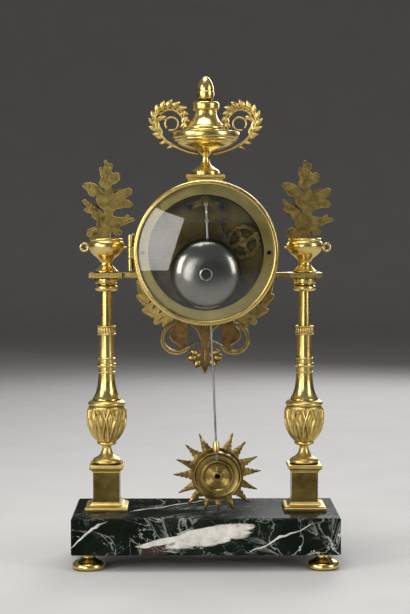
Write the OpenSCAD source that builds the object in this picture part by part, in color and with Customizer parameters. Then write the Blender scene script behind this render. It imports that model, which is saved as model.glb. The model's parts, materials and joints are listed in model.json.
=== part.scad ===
// Portico mantel clock: marble plinth, two gilt columns, drum with striking movement,
// sunburst pendulum, urn crest. Millimetres, dial towards -Y, Z up, standing on Z = 0.

/* [Plinth and feet] */
// Width of the marble slab
plinth_w = 224; // [214:1:240]
// Depth of the marble slab
plinth_d = 96; // [90:1:116]
// Height of the marble slab
plinth_h = 31; // [24:0.5:40]
// Chamfer on the arrises of the slab
plinth_arris = 1; // [0.4:0.1:2]
// Height of the turned feet
foot_h = 13.5; // [10:0.5:18]
// Largest radius of the turned feet
foot_r = 13.8; // [11:0.2:16]

/* [Columns] */
// Distance of each column from the middle
column_x = 84.5; // [82:0.5:90]
// Width of the stepped square base
base_w = 36; // [32:0.5:40]
// Height of the stepped square base
base_h = 7.6; // [6:0.2:10]
// Width of the square die
die_w = 22.3; // [19:0.1:24]
// Height of the square die
die_h = 24.8; // [18:0.2:32]
// Width of the square cap on the die
cap_w = 28.6; // [26:0.1:31]
// Height of the square cap
cap_h = 6.4; // [5:0.1:8]
// Largest radius of the lotus cup
cup_r = 16.3; // [14:0.1:18]
// Height of the lotus cup on its spool
cup_h = 54.6; // [48:0.2:60]
// Leaves in one row of the cup
cup_leaves = 12; // [10:1:14]
// Height of the turned shaft
shaft_h = 93.1; // [86:0.1:105]
// Radius of the shaft in its plain lower part
shaft_r = 7; // [6.6:0.1:8]
// Outer radius of the chased collar
collar_r = 8.1; // [7.8:0.1:9]
// Height of the chased collar
collar_h = 7.8; // [6:0.1:9]
// Height of the capital
capital_h = 11.6; // [9:0.1:14]
// Radius of the capital
capital_r = 9.8; // [9:0.1:12]
// Radius of the iron tie rod inside each column
tie_r = 1.8; // [1.5:0.1:2.2]

/* [Struts and vases] */
// Width of the square plate on each capital
strut_w = 28; // [24:0.5:30]
// Thickness of the plate and of its bar
strut_t = 4.3; // [3.5:0.1:5]
// Width of the bar that holds the drum
bar_w = 10; // [8:0.5:14]
// Height of the small vases
vase_h = 29.1; // [26:0.1:33]
// Largest radius of the small vases
vase_r = 15.2; // [13:0.1:16]
// Thickness of the flat cast sprays
spray_t = 2.4; // [2:0.1:3.2]
// Size of the sprays against the drawn size
spray_scale = 1; // [0.9:0.01:1.1]

/* [Drum and doors] */
// Outer radius of the drum
drum_r = 58; // [57.5:0.1:60]
// Wall of the drum
drum_wall = 1.6; // [1.2:0.1:2]
// Height of the drum axis above the bars
drum_rise = 19.75; // [17:0.25:24]
// How far both bezels stand out past the drum
bezel_over = 2; // [1.6:0.1:3]
// Step from the drum's outside in to the clear opening of the dial's bezel
sight_in = 5; // [4:0.1:6]
// The same step for the thin bezel of the rear glass
rear_sight_in = 1.6; // [1.4:0.1:2.4]
// Rise of the domed glass above its flange
glass_rise = 6.7; // [6.2:0.1:8]
// Thickness of the glass
glass_t = 1.6; // [1.3:0.1:2]
// Width of the flat ring behind the rear glass
ring_w = 8.5; // [6.5:0.1:9]
// Length of each hinge
hinge_l = 29; // [22:1:36]
// Radius of the hinge pins
hinge_pin_r = 0.9; // [0.7:0.1:1.1]

/* [Crest] */
// Width of the block on the drum
crest_w = 32.7; // [28:0.1:36]
// Height of the block above the drum's top
crest_h = 7.1; // [5:0.1:10]
// Radius of the urn's rim
urn_r = 28.6; // [27.5:0.1:30]
// Height of the urn bowl on its foot
urn_h = 36.8; // [33:0.1:40]
// Height of the concave lid with its collar
lid_h = 25; // [22:0.1:28]
// Height of the bud finial
bud_h = 21.6; // [18:0.1:25]
// Radius of the rod that holds the crest together
crest_rod_r = 1.4; // [1.2:0.1:1.6]
// Thickness of the laurel leaves
laurel_t = 1.5; // [1.2:0.1:2]

/* [Apron] */
// Thickness of the flat apron casting
apron_t = 3; // [2.4:0.1:4]
// Distance of the apron in front of the column plane
apron_y = 30; // [26:0.5:34]

/* [Pendulum] */
// Radius over the tips of the sun's rays
sun_r = 37; // [33:0.1:38]
// Reach of the lowest rays, which are cut short over the marble
low_ray = 32.8; // [30:0.1:36]
// Ray places around the sun, the top one left free
sun_rays = 16; // [14:1:18]
// Radius of the dished bob
bob_r = 20; // [18:0.1:22]
// How far the filled drum of the bob stands out behind its rod
bob_deep = 9; // [0:0.5:12]
// Radius of the turned boss on the bob
boss_r = 12; // [10:0.1:13.5]
// Clearance of the lowest ray over the marble
bob_clear = 1.2; // [1:0.1:6]
// Radius of the pendulum rod
rod_r = 0.9; // [0.7:0.1:1.1]
// Lean of the pendulum in the stored pose, degrees
rest_tilt = 2.4; // [0:0.1:3]

/* [Movement] */
// Radius of the movement plates
plate_r = 47; // [46.8:0.1:47.3]
// Thickness of the movement plates
plate_t = 2.5; // [2:0.1:2.8]
// Space between the plates
plate_gap = 35; // [34:0.5:37]
// Sideways distance of both barrels from the centre
barrel_x = 23; // [22.8:0.1:23.4]
// Drop of both barrels below the centre
barrel_drop = 14; // [13.6:0.1:14.4]
// Radius of the spring barrels
barrel_r = 19.5; // [17:0.1:19.8]
// Height of the escape wheel above the centre
escape_up = 29.4; // [29:0.1:29.8]
// Height of pallet arbor and suspension above the centre
pivot_up = 43; // [42.6:0.1:43.4]
// Radius of the bell's rim
bell_r = 29.5; // [27:0.1:29.8]
// Clear space between the bell's rim and the flat ring
bell_clear = 0.7; // [0.5:0.1:1]
// Space around the dial inside the drum
dial_margin = 5.4; // [4.4:0.1:7]
// Number of pins that lift the hammer
strike_pins = 10; // [8:1:12]

/* [Fits] */
// Radial clearance of a running fit
running = 0.05; // [0.03:0.01:0.08]
// Clear gap between pieces that pass each other
gap = 0.3; // [0.25:0.05:0.4]
// Play of a seated piece
seat = 0.1; // [0.05:0.05:0.15]

/* [Hidden] */
$fn = 64;

// Levels from the floor up
z_slab = foot_h;
z_base = z_slab + plinth_h;
z_die = z_base + base_h;
z_cap = z_die + die_h;
z_cup = z_cap + cap_h;
z_shaft = z_cup + cup_h;
z_capital = z_shaft + shaft_h;
z_strut = z_capital + capital_h;
z_vase = z_strut + strut_t;
z_drum = z_strut + strut_t / 2 + drum_rise;
z_crest = z_drum + drum_r + crest_h;
z_lid = z_crest + urn_h;
z_bud = z_lid + lid_h;
bore_r = tie_r + seat;

// Radii that follow the drum
bezel_r = drum_r + bezel_over;
sight_r = drum_r - sight_in;
rear_sight_r = drum_r - rear_sight_in;
ring_r = drum_r - drum_wall - ring_w;
dial_r = drum_r - drum_wall - dial_margin;
bell_drop = ring_r - bell_r - bell_clear;
function dome_r(i) = i - seat - 0.2;
function dome_big(i) = (dome_r(i) * dome_r(i) + glass_rise * glass_rise) / (2 * glass_rise);
glass_big = dome_big(rear_sight_r);
glass_sag = glass_big - sqrt(glass_big * glass_big - bell_drop * bell_drop);

// Stations along Y, from the dial to the rear glass
front_in = -4 - plate_gap / 2;
back_in = front_in + plate_gap;
front_out = front_in - plate_t;
back_out = back_in + plate_t;
dial_back = front_out - 12;
drum_y0 = dial_back - 6;
rod_y = back_out + 15;
bell_y = rod_y + 2.5;
bell_end = bell_y + 14.7;
drum_y1 = ceil((bell_end + glass_sag - glass_rise - 0.3) * 2) / 2;
hinge_x = bezel_r + 2.4;

// Teeth and modules of the trains
great_n = 84;
great_m = 0.5;
great_pinion = 12;
wheel_n = 80;
wheel_m = 0.45;
centre_pinion = 10;
third_n = 72;
leaf_n = 8;
count_n = 72;
count_m = 0.38;
pin_n = 48;
pin_m = 0.35;
cannon_n = 12;
minute_n = 36;
motion_m = 0.5;
minute_pinion = 10;
hour_n = 40;
hour_m = motion_m * (cannon_n + minute_n) / (minute_pinion + hour_n);
escape_n = 42;
escape_r = 10.5;
pivot_r = 0.7;

function polar(r, a) = [r * cos(a), r * sin(a)];
function mesh(n1, n2, m) = m * (n1 + n2) / 2;
function aim(p, q) = atan2(q[1] - p[1], q[0] - p[0]);
// Point at distance rp from p and rq from q
function meet(p, rp, q, rq, side) =
    let (d = norm(q - p), u = (q - p) / d, a = (rp * rp - rq * rq + d * d) / (2 * d))
    p + a * u + side * sqrt(rp * rp - a * a) * [-u[1], u[0]];
function mirrored(pts) = concat(pts, [for (i = [len(pts) - 1:-1:0]) [-pts[i][0], pts[i][1]]]);
function layer(v) = front_in + v * plate_gap / 35;

// Arbor places seen from the dial, from the drum axis
p_centre = [0, 0];
p_going = [barrel_x, -barrel_drop];
p_strike = [-barrel_x, -barrel_drop];
p_inter = meet(p_going, mesh(great_n, great_pinion, great_m),
               p_centre, mesh(wheel_n, centre_pinion, wheel_m), 1);
p_escape = [0, escape_up];
p_third = meet(p_centre, mesh(wheel_n, leaf_n, wheel_m),
               p_escape, mesh(third_n, leaf_n, wheel_m), -1);
p_pallet = [0, pivot_up];
p_count = p_strike + polar(mesh(great_n, great_pinion, great_m), 110);
p_pin = p_count + polar(mesh(count_n, leaf_n, count_m), 62);
p_fly = p_pin + polar(mesh(pin_n, leaf_n, pin_m), 95);
p_hammer = [-12.5, 27];
p_minute = [0, mesh(cannon_n, minute_n, motion_m)];
p_bell = [0, -bell_drop];
p_stand = p_bell + [14, -10.3];
pillars = [[0, -43], [40.5, 13], [19, 39], [-35.5, 25.1]];
cock_feet = [[-13.5, 38], [13.5, 38]];
pivots = [p_going, p_strike, p_inter, p_third, p_escape, p_count, p_pin, p_fly];

// A 2-D outline in X and Z made solid between two stations along Y
module slab(y0, y1) {
    translate([0, y1, 0])
        rotate([90, 0, 0])
            linear_extrude(y1 - y0)
                children();
}

// A round bar along Y
module bar_y(r, y0, y1) {
    translate([0, y1, 0])
        rotate([90, 0, 0])
            cylinder(r = r, h = y1 - y0);
}

// A turned piece about Y from points of radius and station
module turned_y(pts) {
    rotate([-90, 0, 0])
        rotate_extrude()
            polygon(pts);
}

module turned(pts) {
    rotate_extrude()
        polygon(pts);
}

// A mitred square moulding from half width and height
module mitred(pts, reach) {
    intersection() {
        slab(-reach, reach)
            polygon(mirrored(pts));
        rotate([0, 0, 90])
            slab(-reach, reach)
                polygon(mirrored(pts));
    }
}

module at(p) {
    translate([p[0], 0, z_drum + p[1]])
        children();
}

module both_columns() {
    for (s = [-1, 1])
        translate([s * column_x, 0, 0])
            children();
}

// A pointed leaf of two arcs from its base to its tip
module leaf(base, tip, w, t) {
    l = norm(tip - base);
    r = (l * l / 4 + w * w / 4) / w;
    translate([base[0], 0, base[1]])
        rotate([0, -aim(base, tip), 0])
            intersection() {
                translate([l / 2, 0, r - w / 2])
                    bar_y(r, -t / 2, t / 2);
                translate([l / 2, 0, w / 2 - r])
                    bar_y(r, -t / 2, t / 2);
            }
}

// A flat strap between two points
module strap(p, q, w, t) {
    translate([p[0], 0, p[1]])
        rotate([0, -aim(p, q), 0])
            translate([0, -t / 2, -w / 2])
                cube([norm(q - p), t, w]);
}

// A round stem bent along part of a circle in the X-Z plane
module bend(c, r, a0, a1, w) {
    translate([c[0], 0, c[1]])
        rotate([90, 0, 0])
            rotate([0, 0, a0])
                rotate_extrude(angle = a1 - a0)
                    translate([r, 0])
                        circle(w / 2, $fn = 32);
}

// Clock teeth with straight flanks, pinion leaves thinner than wheel teeth
module teeth(n, m, a0) {
    leafy = n < 20;
    p = 360 / n;
    h = (leafy ? 0.18 : 0.21) * p;
    tip = m * n / 2 + (leafy ? 0.75 : 0.85) * m;
    root = m * n / 2 - 1.3 * m;
    top = h * (leafy ? 0.6 : 0.5);
    foot = h * (leafy ? 1 : 1.2);
    polygon([for (i = [0:n - 1])
        let (a = a0 + i * p)
        each [polar(root, a - foot), polar(tip, a - top), polar(tip, a + top), polar(root, a + foot)]]);
}

// A train wheel with five crossings
module wheel(n, m, a0, y0, y1) {
    r1 = m * n / 2 - 3.4 * m - 0.6;
    r0 = max(2.6, m * n * 0.13);
    half = 36 - 90 / r1;
    difference() {
        slab(y0, y1)
            teeth(n, m, a0);
        for (i = [0:4])
            slab(y0 - 1, y1 + 1)
                rotate([0, 0, 72 * i])
                    polygon(concat([for (k = [-3:3]) polar(r1, half * k / 3)],
                                   [for (k = [2:-1:-2]) polar(r0, half * 0.72 * k / 2)]));
    }
}

module pinion(n, m, a0, y0, y1) {
    slab(y0, y1)
        teeth(n, m, a0);
}

// An arbor with its two pivots in the plates
module arbor(r) {
    bar_y(r, front_in + gap, back_in - gap);
    bar_y(pivot_r, front_out + seat, back_out - seat);
}

// Tooth places: a wheel points a tooth at its pinion, a pinion turns a gap to its wheel
function toward(p, q) = aim(p, q);
function gap_toward(p, q, n) = aim(p, q) + 180 / n;

// Plinth and columns

module marble_plinth() {
    w = plinth_w / 2;
    d = plinth_d / 2;
    c = plinth_arris;
    color("darkslategray")
        difference() {
            intersection() {
                slab(-d, d)
                    polygon(mirrored([[w - c, z_slab], [w, z_slab + c], [w, z_base - c], [w - c, z_base]]));
                rotate([0, 0, 90])
                    slab(-w, w)
                        polygon(mirrored([[d - c, z_slab], [d, z_slab + c], [d, z_base - c], [d - c, z_base]]));
            }
            both_columns() {
                translate([0, 0, z_slab - 1])
                    cylinder(r = bore_r, h = plinth_h + 2);
                translate([0, 0, z_slab - 1])
                    cylinder(r = 6, h = 7);
            }
            each_foot()
                translate([0, 0, z_slab - 1])
                    cylinder(r = 2.5 + seat, h = 9);
        }
}

module each_foot() {
    for (sx = [-1, 1])
        for (sy = [-1, 1])
            translate([sx * (plinth_w / 2 - foot_r), sy * (plinth_d / 2 - foot_r), 0])
                children();
}

module feet() {
    r = foot_r;
    h = foot_h;
    color("goldenrod")
        each_foot()
            turned([[0, 0], [r * 0.9, 0], [r * 0.97, h * 0.06], [r, h * 0.2], [r * 0.97, h * 0.34],
                    [r * 0.88, h * 0.46], [r * 0.66, h * 0.55], [r * 0.5, h * 0.66], [r * 0.42, h * 0.8],
                    [r * 0.46, h * 0.86], [r * 0.52, h * 0.9], [r * 0.52, h], [2.5, h], [2.5, h + 7], [0, h + 7]]);
}

module tie_rods() {
    color("dimgray") {
        both_columns()
            translate([0, 0, z_slab]) {
                translate([0, 0, 1.2])
                    cylinder(r = tie_r, h = z_vase + 8 - z_slab - 1.2);
                translate([0, 0, 2.8])
                    cylinder(r = 4.4, h = 3.2, $fn = 6);
            }
        translate([0, 0, z_drum + drum_r - drum_wall - 6])
            cylinder(r = crest_rod_r, h = z_bud + 8 - z_drum - drum_r + drum_wall + 6);
        translate([0, 0, z_drum + drum_r - drum_wall - 3.4])
            cylinder(r = 3.6, h = 3, $fn = 6);
    }
}

module pedestal_bases() {
    w = base_w / 2;
    n = die_w / 2 + 0.9;
    h = base_h;
    color("gold")
        both_columns()
            translate([0, 0, z_base])
                difference() {
                    mitred([[w, 0], [w, h * 0.34], [w - 0.9, h * 0.4], [w - 0.9, h * 0.5], [w - 2.2, h * 0.56],
                            [w - 4, h * 0.66], [n + 0.5, h * 0.86], [n, h * 0.93], [n, h]], w);
                    translate([0, 0, -1])
                        cylinder(r = bore_r, h = h + 2);
                }
}

module pedestal_dies() {
    color("darkolivegreen")
        both_columns()
            translate([0, 0, z_die + die_h / 2])
                difference() {
                    cube([die_w, die_w, die_h], center = true);
                    cube([die_w - 4.4, die_w - 4.4, die_h + 2], center = true);
                }
}

module pedestal_caps() {
    w = cap_w / 2;
    n = die_w / 2 + 0.6;
    h = cap_h;
    color("gold")
        both_columns()
            translate([0, 0, z_cap])
                difference() {
                    mitred([[n, 0], [n, h * 0.12], [n + 0.5, h * 0.2], [w - 1.3, h * 0.4], [w - 0.4, h * 0.5],
                            [w, h * 0.52], [w, h * 0.92], [w - 0.5, h]], w);
                    translate([0, 0, -1])
                        cylinder(r = bore_r, h = h + 2);
                }
}

// Outline of the cup's leafy part, from the ring up to the rim band
function cup_wall(grow) =
    let (k = cup_r / 16.3, h = cup_h / 54.6)
    [for (q = [[8.2, 19.3], [10.6, 22.5], [13.2, 27], [15.2, 32.5], [16.2, 38], [16.3, 41], [15.9, 46], [15.7, 50]])
        [q[0] * k + grow, q[1] * h]];

function cup_leaf(pts) = [for (q = pts) [q[0] * cup_r / 16.3 * 8.6 / cup_leaves, q[1] * cup_h / 54.6]];

module cup_row(pts, grow, turn) {
    wedge = 400 / cup_leaves;
    wall = cup_wall(grow);
    inner = cup_wall(-1.2);
    for (i = [0:cup_leaves - 1])
        rotate([0, 0, turn + i * 360 / cup_leaves])
            intersection() {
                rotate([0, 0, -wedge / 2])
                    rotate_extrude(angle = wedge)
                        polygon(concat(wall, [for (k = [len(inner) - 1:-1:0]) inner[k]]));
                rotate([90, 0, 90])
                    linear_extrude(cup_r + 10)
                        polygon(mirrored(cup_leaf(pts)));
            }
}

module lotus_cups() {
    h = cup_h / 54.6;
    spool = [for (q = [[11.4, 0], [12.2, 1], [12.3, 2.6], [11.3, 4.2], [9.4, 5.5], [6, 8], [4.5, 11], [3.9, 13.6],
                       [4.3, 15.2], [5.6, 16.2], [7.9, 16.4], [7.9, 19.3]]) [q[0], q[1] * h]];
    band = cup_r - 1.5;
    color("gold")
        both_columns()
            translate([0, 0, z_cup]) {
                turned(concat([[bore_r, 0]], spool, cup_wall(0), [[band, 50 * h], [band, cup_h], [bore_r, cup_h]]));
                cup_row([[0.4, 20], [3.4, 23], [5.2, 29], [5.9, 36], [4.6, 43], [2.2, 47.5], [0.2, 49.7]], 0.5, 0);
                cup_row([[0.4, 19.7], [3.2, 21.9], [4.9, 26.2], [4.6, 31.6], [2.6, 36.6], [0.2, 40.3]], 1, 180 / cup_leaves);
            }
}

// The shaft keeps its drawn height ratios, with a seat for the collar
collar_z = shaft_h * 0.6;
collar_seat_r = shaft_r - 1.1;

module column_shaft() {
    r = shaft_r;
    h = shaft_h;
    s = collar_z;
    b = h * 0.26;
    color("gold")
        translate([0, 0, z_shaft])
            turned([[bore_r, 0], [r + 4.9, 0], [r + 4.9, 1], [r + 3.4, 4], [r + 2, 7.5], [r + 0.9, 12],
                    [r + 0.3, 17], [r, b - 2.2], [r, b - 0.5], [r + 0.5, b], [r, b + 0.5], [r, b + 4.3], [r + 0.6, b + 4.5],
                    [r + 0.6, b + 7.5], [r, b + 7.7], [r, b + 11.2], [r + 0.5, b + 11.7], [r, b + 12.2],
                    [r - 0.3, b + 18], [r - 0.5, s], [collar_seat_r, s], [collar_seat_r, s + collar_h],
                    [r - 1.6, s + collar_h], [r - 2.3, h], [bore_r, h]]);
}

module column_shaft_left() {
    translate([-column_x, 0, 0])
        column_shaft();
}

module column_shaft_right() {
    translate([column_x, 0, 0])
        column_shaft();
}

module column_collars() {
    r = collar_r;
    h = collar_h;
    i = collar_seat_r + seat;
    color("gold")
        both_columns()
            translate([0, 0, z_shaft + collar_z])
                difference() {
                    union() {
                        turned([[i, 0], [r, 0], [r, 1.2], [r - 0.9, 1.6], [r - 0.9, h - 1.6], [r, h - 1.2], [r, h], [i, h]]);
                        for (k = [0:17])
                            rotate([0, 0, 20 * k])
                                translate([r - 1, 0, 0.6])
                                    cylinder(r = 0.85, h = h - 1.2, $fn = 24);
                    }
                    translate([0, 0, -1])
                        cylinder(r = i, h = h + 2);
                }
}

module column_capitals() {
    r = capital_r;
    h = capital_h;
    color("gold")
        both_columns()
            translate([0, 0, z_capital])
                turned([[bore_r, 0], [shaft_r - 1.6, 0], [r - 1.6, h * 0.06], [r - 0.4, h * 0.15], [r, h * 0.25],
                        [r - 0.4, h * 0.36], [r - 1.6, h * 0.44], [r - 2.2, h * 0.48], [r - 2.2, h * 0.54],
                        [r - 0.6, h * 0.58], [r, h * 0.64], [r, h * 0.93], [r - 0.4, h], [bore_r, h]]);
}

module struts() {
    color("gold")
        for (s = [0, 1])
            mirror([s, 0, 0])
                difference() {
                    union() {
                        translate([column_x - strut_w / 2, -strut_w / 2, z_strut])
                            cube([strut_w, strut_w, strut_t]);
                        translate([drum_r - 14, -bar_w / 2, z_strut])
                            cube([column_x - drum_r + 14, bar_w, strut_t]);
                    }
                    translate([column_x, 0, z_strut - 1])
                        cylinder(r = bore_r, h = strut_t + 2);
                    translate([0, 0, z_drum])
                        bar_y(drum_r + seat, -bar_w, bar_w);
                }
}

module vase() {
    r = vase_r;
    h = vase_h / 29.1;
    color("gold")
        translate([0, 0, z_vase])
            difference() {
                union() {
                    turned([for (q = [[0, 0], [10, 0], [10, 1.3], [9.2, 1.9], [7.9, 4.2], [5.8, 6.2], [5.2, 8.1],
                                      [5.4, 9.2], [6.2, 9.8], [6.2, 10.8], [7, 12], [9.8, 15.2], [12.6, 18.4],
                                      [14.4, 21.4], [14.8, 23.6], [14.6, 25.4], [14, 26.4], [14.3, 26.9], [14.7, 27.4],
                                      [14.7, 28.6], [14.3, 29.1], [12.6, 29.1], [11.6, 27.6], [0, 27.6]])
                            [q[0] * r / 14.8, q[1] * h]]);
                    translate([r + 3.4, 0, 21.4 * h])
                        bend([0, 0], 3.2, 0, 360, 1.6);
                    translate([r - 1.2, 0, 21.4 * h])
                        rotate([0, 90, 0])
                            cylinder(r = 0.8, h = 1.6);
                }
                translate([0, 0, -1])
                    cylinder(r = bore_r, h = 10.4);
                translate([-3 - seat, -spray_t / 2 - seat, vase_h - 9])
                    cube([6 + 2 * seat, spray_t + 2 * seat, 10]);
            }
}

module vase_left() {
    translate([-column_x, 0, 0])
        mirror([1, 0, 0])
            vase();
}

module vase_right() {
    translate([column_x, 0, 0])
        vase();
}

// A flat cast bouquet, drawn as seen from the dial
module spray() {
    t = spray_t;
    color("darkgoldenrod")
        translate([0, 0, z_vase + vase_h - 1])
            scale(spray_scale) {
                strap([0, -7.6], [0, 40], 6, t);
                leaf([6, 38], [20.6, 46.4], 8.5, t * 0.8);
                leaf([-5, 38], [-21.2, 43.1], 8, t * 0.85);
                leaf([-3, 28], [-21.6, 29.2], 8, t * 0.75);
                leaf([4, 24], [20.1, 34.1], 7, t * 0.7);
                leaf([4, 20], [18.9, 25], 7, t * 0.9);
                leaf([-3, 13.6], [-24, 17.7], 7, t * 0.8);
                leaf([-2, 11], [-17.9, 12.8], 5.5, t * 0.65);
                leaf([2, 12], [16.5, 4.6], 7.5, t * 0.75);
                leaf([-2, 12], [-13, 7], 7.5, t * 0.7);
                leaf([2, 22], [14, 14], 7, t * 0.6);
                leaf([0, 20], [0, 44], 17, t * 0.9);
                leaf([1, 36], [-7, 51], 7, t * 0.85);
                leaf([0, 36], [4.6, 53], 7.5, t * 0.95);
                leaf([0, 45], [0.9, 67.6], 6.5, t * 0.7);
                leaf([0, 50], [-4.8, 64.4], 4.5, t * 0.6);
                leaf([0, 50], [5.8, 60.7], 4.5, t * 0.65);
                translate([-7.2, 0, 52.9])
                    bar_y(4.1, -t * 0.55, t * 0.55);
                strap([0, 46], [-7.2, 52.9], 2.4, t * 0.5);
                translate([0.6, 0, 33])
                    bar_y(6.4, -t * 0.6, t * 0.6);
                translate([-1, 0, 17])
                    bar_y(5.6, -t * 0.58, t * 0.58);
            }
}

module flower_spray_left() {
    translate([-column_x, 0, 0])
        spray();
}

module flower_spray_right() {
    translate([column_x, 0, 0])
        spray();
}

// Drum, doors and crest

module hinge_knuckle(y, z0, z1) {
    translate([hinge_x, y, z_drum + z0])
        difference() {
            cylinder(r = 2, h = z1 - z0);
            translate([0, 0, -1])
                cylinder(r = hinge_pin_r + running, h = z1 - z0 + 2);
        }
}

// Two outer knuckles on the drum, with the leaf that carries them
module drum_hinge(y, s) {
    for (k = [-1, 1])
        let (z0 = k > 0 ? hinge_l / 6 + gap / 2 : -hinge_l / 2)
        let (z1 = k > 0 ? hinge_l / 2 : -hinge_l / 6 - gap / 2) {
            hinge_knuckle(y, z0, z1);
            difference() {
                translate([drum_r - 3, min(y - s * 4.4, y - s * 1.2), z_drum + z0])
                    cube([hinge_x - drum_r + 3, 3.2, z1 - z0]);
                translate([hinge_x, y, z_drum + z0 - 1])
                    cylinder(r = hinge_pin_r + running, h = z1 - z0 + 2);
                translate([0, 0, z_drum])
                    bar_y(drum_r - 0.6, drum_y0 - 9, drum_y1 + 9);
            }
        }
}

module drum_shell() {
    slot = 13;
    color("gold")
        union() {
            difference() {
                translate([0, 0, z_drum])
                    bar_y(drum_r, drum_y0, drum_y1);
                translate([0, 0, z_drum])
                    bar_y(drum_r - drum_wall, drum_y0 - 1, drum_y1 + 1);
                translate([-slot, rod_y - 5, z_drum - drum_r - 5])
                    cube([2 * slot, 10, 20]);
                translate([0, 0, z_drum])
                    cylinder(r = crest_rod_r + seat, h = drum_r + 5);
            }
            drum_hinge(drum_y1 + 0.15, 1);
            drum_hinge(drum_y0 - 0.15, -1);
        }
}

module rear_ring() {
    color("goldenrod")
        at([0, 0])
            difference() {
                bar_y(drum_r - drum_wall - seat, drum_y1 - 4, drum_y1 - 2);
                bar_y(ring_r, drum_y1 - 5, drum_y1);
                for (s = [-1, 1])
                    translate([s * (ring_r + ring_w * 0.48), 0, 0])
                        bar_y(1.8, drum_y1 - 5, drum_y1);
            }
}

module hinge_pins() {
    color("dimgray")
        for (y = [drum_y0 - 0.15, drum_y1 + 0.15])
            translate([hinge_x, y, z_drum - hinge_l / 2 - 0.8]) {
                cylinder(r = hinge_pin_r, h = hinge_l + 1.6);
                cylinder(r = 1.5, h = 0.7);
                translate([0, 0, hinge_l + 0.9])
                    cylinder(r = 1.5, h = 0.7);
            }
}

// A bezel drawn for the rear; the front one is its mirror image
// A turned rim round a clear opening of radius i, with a rabbet of width lip for the glass
function wide_rim(r, i, y) = [[r, y + 1.7], [r - 0.8, y + 2.9], [r - 2.3, y + 3.6], [r - 2.7, y + 4.9], [r - 4, y + 6.2],
                              [r - 5.8, y + 6.7], [i + 0.4, y + 6.3], [i, y + 5.6]];
function thin_rim(r, i, y) = [[r, y + 2.2], [r - 0.5, y + 3.3], [r - 1.3, y + 3.9], [r - 2.1, y + 4], [i + 0.4, y + 3.8],
                              [i, y + 3.5]];

module bezel(i, lip, rim) {
    r = bezel_r;
    y = gap;
    z0 = -hinge_l / 6 + gap / 2;
    z1 = hinge_l / 6 - gap / 2;
    difference() {
        union() {
            translate([0, 0, z_drum])
                turned_y(concat([[i + lip, y], [r, y]], rim, [[i, y + 2.4], [i + lip, y + 2.4]]));
            hinge_knuckle(0.15, z0, z1);
            translate([r - 1.6, 1.4, z_drum + z0])
                cube([hinge_x - r + 1.6, 2, z1 - z0]);
        }
        translate([hinge_x, 0.15, z_drum + z0 - 1])
            cylinder(r = hinge_pin_r + running, h = z1 - z0 + 2);
    }
}

// A domed glass with a flange that lies in the bezel's rabbet
module dome_glass(i, lip) {
    r = dome_r(i);
    big = dome_big(i);
    y = gap + 0.3;
    translate([0, 0, z_drum]) {
        difference() {
            intersection() {
                bar_y(r, y, y + glass_rise + 4);
                translate([0, y + glass_t + glass_rise - big, 0])
                    sphere(big, $fn = 180);
            }
            translate([0, y + glass_rise - big, 0])
                sphere(big, $fn = 180);
        }
        difference() {
            bar_y(i + lip - 0.2, y, y + glass_t);
            bar_y(r - 1, y - 1, y + glass_t + 1);
        }
    }
}

module rear_bezel() {
    color("gold")
        translate([0, drum_y1, 0])
            bezel(rear_sight_r, 1.6, thin_rim(bezel_r, rear_sight_r, gap));
}

module rear_glass() {
    color("lightcyan", 0.4)
        translate([0, drum_y1, 0])
            dome_glass(rear_sight_r, 1.6);
}

module front_bezel() {
    color("gold")
        translate([0, drum_y0, 0])
            mirror([0, 1, 0])
                bezel(sight_r, 2, wide_rim(bezel_r, sight_r, gap));
}

module front_glass() {
    color("lightcyan", 0.4)
        translate([0, drum_y0, 0])
            mirror([0, 1, 0])
                dome_glass(sight_r, 2);
}

module crest_plinth() {
    w = crest_w / 2;
    color("gold")
        difference() {
            mitred([[w - 1.6, z_drum + drum_r - 8], [w - 1.6, z_crest - 3.4], [w - 0.8, z_crest - 2.6],
                    [w, z_crest - 2.2], [w, z_crest - 0.4], [w - 0.4, z_crest]], w);
            translate([0, 0, z_drum])
                bar_y(drum_r + seat, -crest_w, crest_w);
            translate([0, 0, z_drum])
                cylinder(r = crest_rod_r + seat, h = z_crest - z_drum + 1);
        }
}

module urn_bowl() {
    k = urn_r / 28.6;
    h = urn_h / 36.8;
    b = crest_rod_r + seat;
    color("gold")
        translate([0, 0, z_crest])
            turned(concat([[b, 0]], [for (q = [[12.3, 0], [12.3, 1.7], [11.6, 2.3], [11.2, 3.6], [9.4, 5.2], [6, 7.2],
                                               [4, 9.8], [3.1, 13.1], [3.4, 16], [4.6, 18.6], [7.4, 20.2], [13.6, 22],
                                               [20.4, 24.4], [23.8, 26.6], [24.9, 28.4], [26.4, 29], [27.2, 30.2],
                                               [27.2, 31], [28.4, 31.6], [28.6, 32.6], [28.6, 35.6], [28, 36.8]])
                                     [q[0] * k, q[1] * h]], [[b, urn_h]]));
}

module urn_lid() {
    k = urn_r / 28.6;
    h = lid_h / 25;
    b = crest_rod_r + seat;
    color("gold")
        translate([0, 0, z_lid])
            turned(concat([[b, 0]], [for (q = [[20, 0], [20, 1], [17.6, 1.7], [17.1, 3.4], [15.8, 4], [15.3, 5.2], [14, 6.6],
                                               [12, 9], [10.4, 11.6], [9.5, 14.2], [9, 17.4], [10.4, 18], [11.4, 19.2], [11.4, 23.4],
                                               [10.4, 25]]) [q[0] * k, q[1] * h]], [[b, lid_h]]));
}

module urn_finial() {
    h = bud_h / 21.6;
    b = crest_rod_r + seat;
    color("gold")
        translate([0, 0, z_bud])
            difference() {
                turned([for (q = [[0, 0], [4.4, 0], [5, 1], [7, 2.8], [7.3, 5.2], [7.3, 9], [6.4, 9.8], [6.5, 11.6],
                                  [5.8, 14.6], [4.2, 17.6], [2, 20], [0.8, 21.2], [0, 21.6]]) [q[0], q[1] * h]]);
                translate([0, 0, -1])
                    cylinder(r = b, h = 9.5);
            }
}

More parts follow.
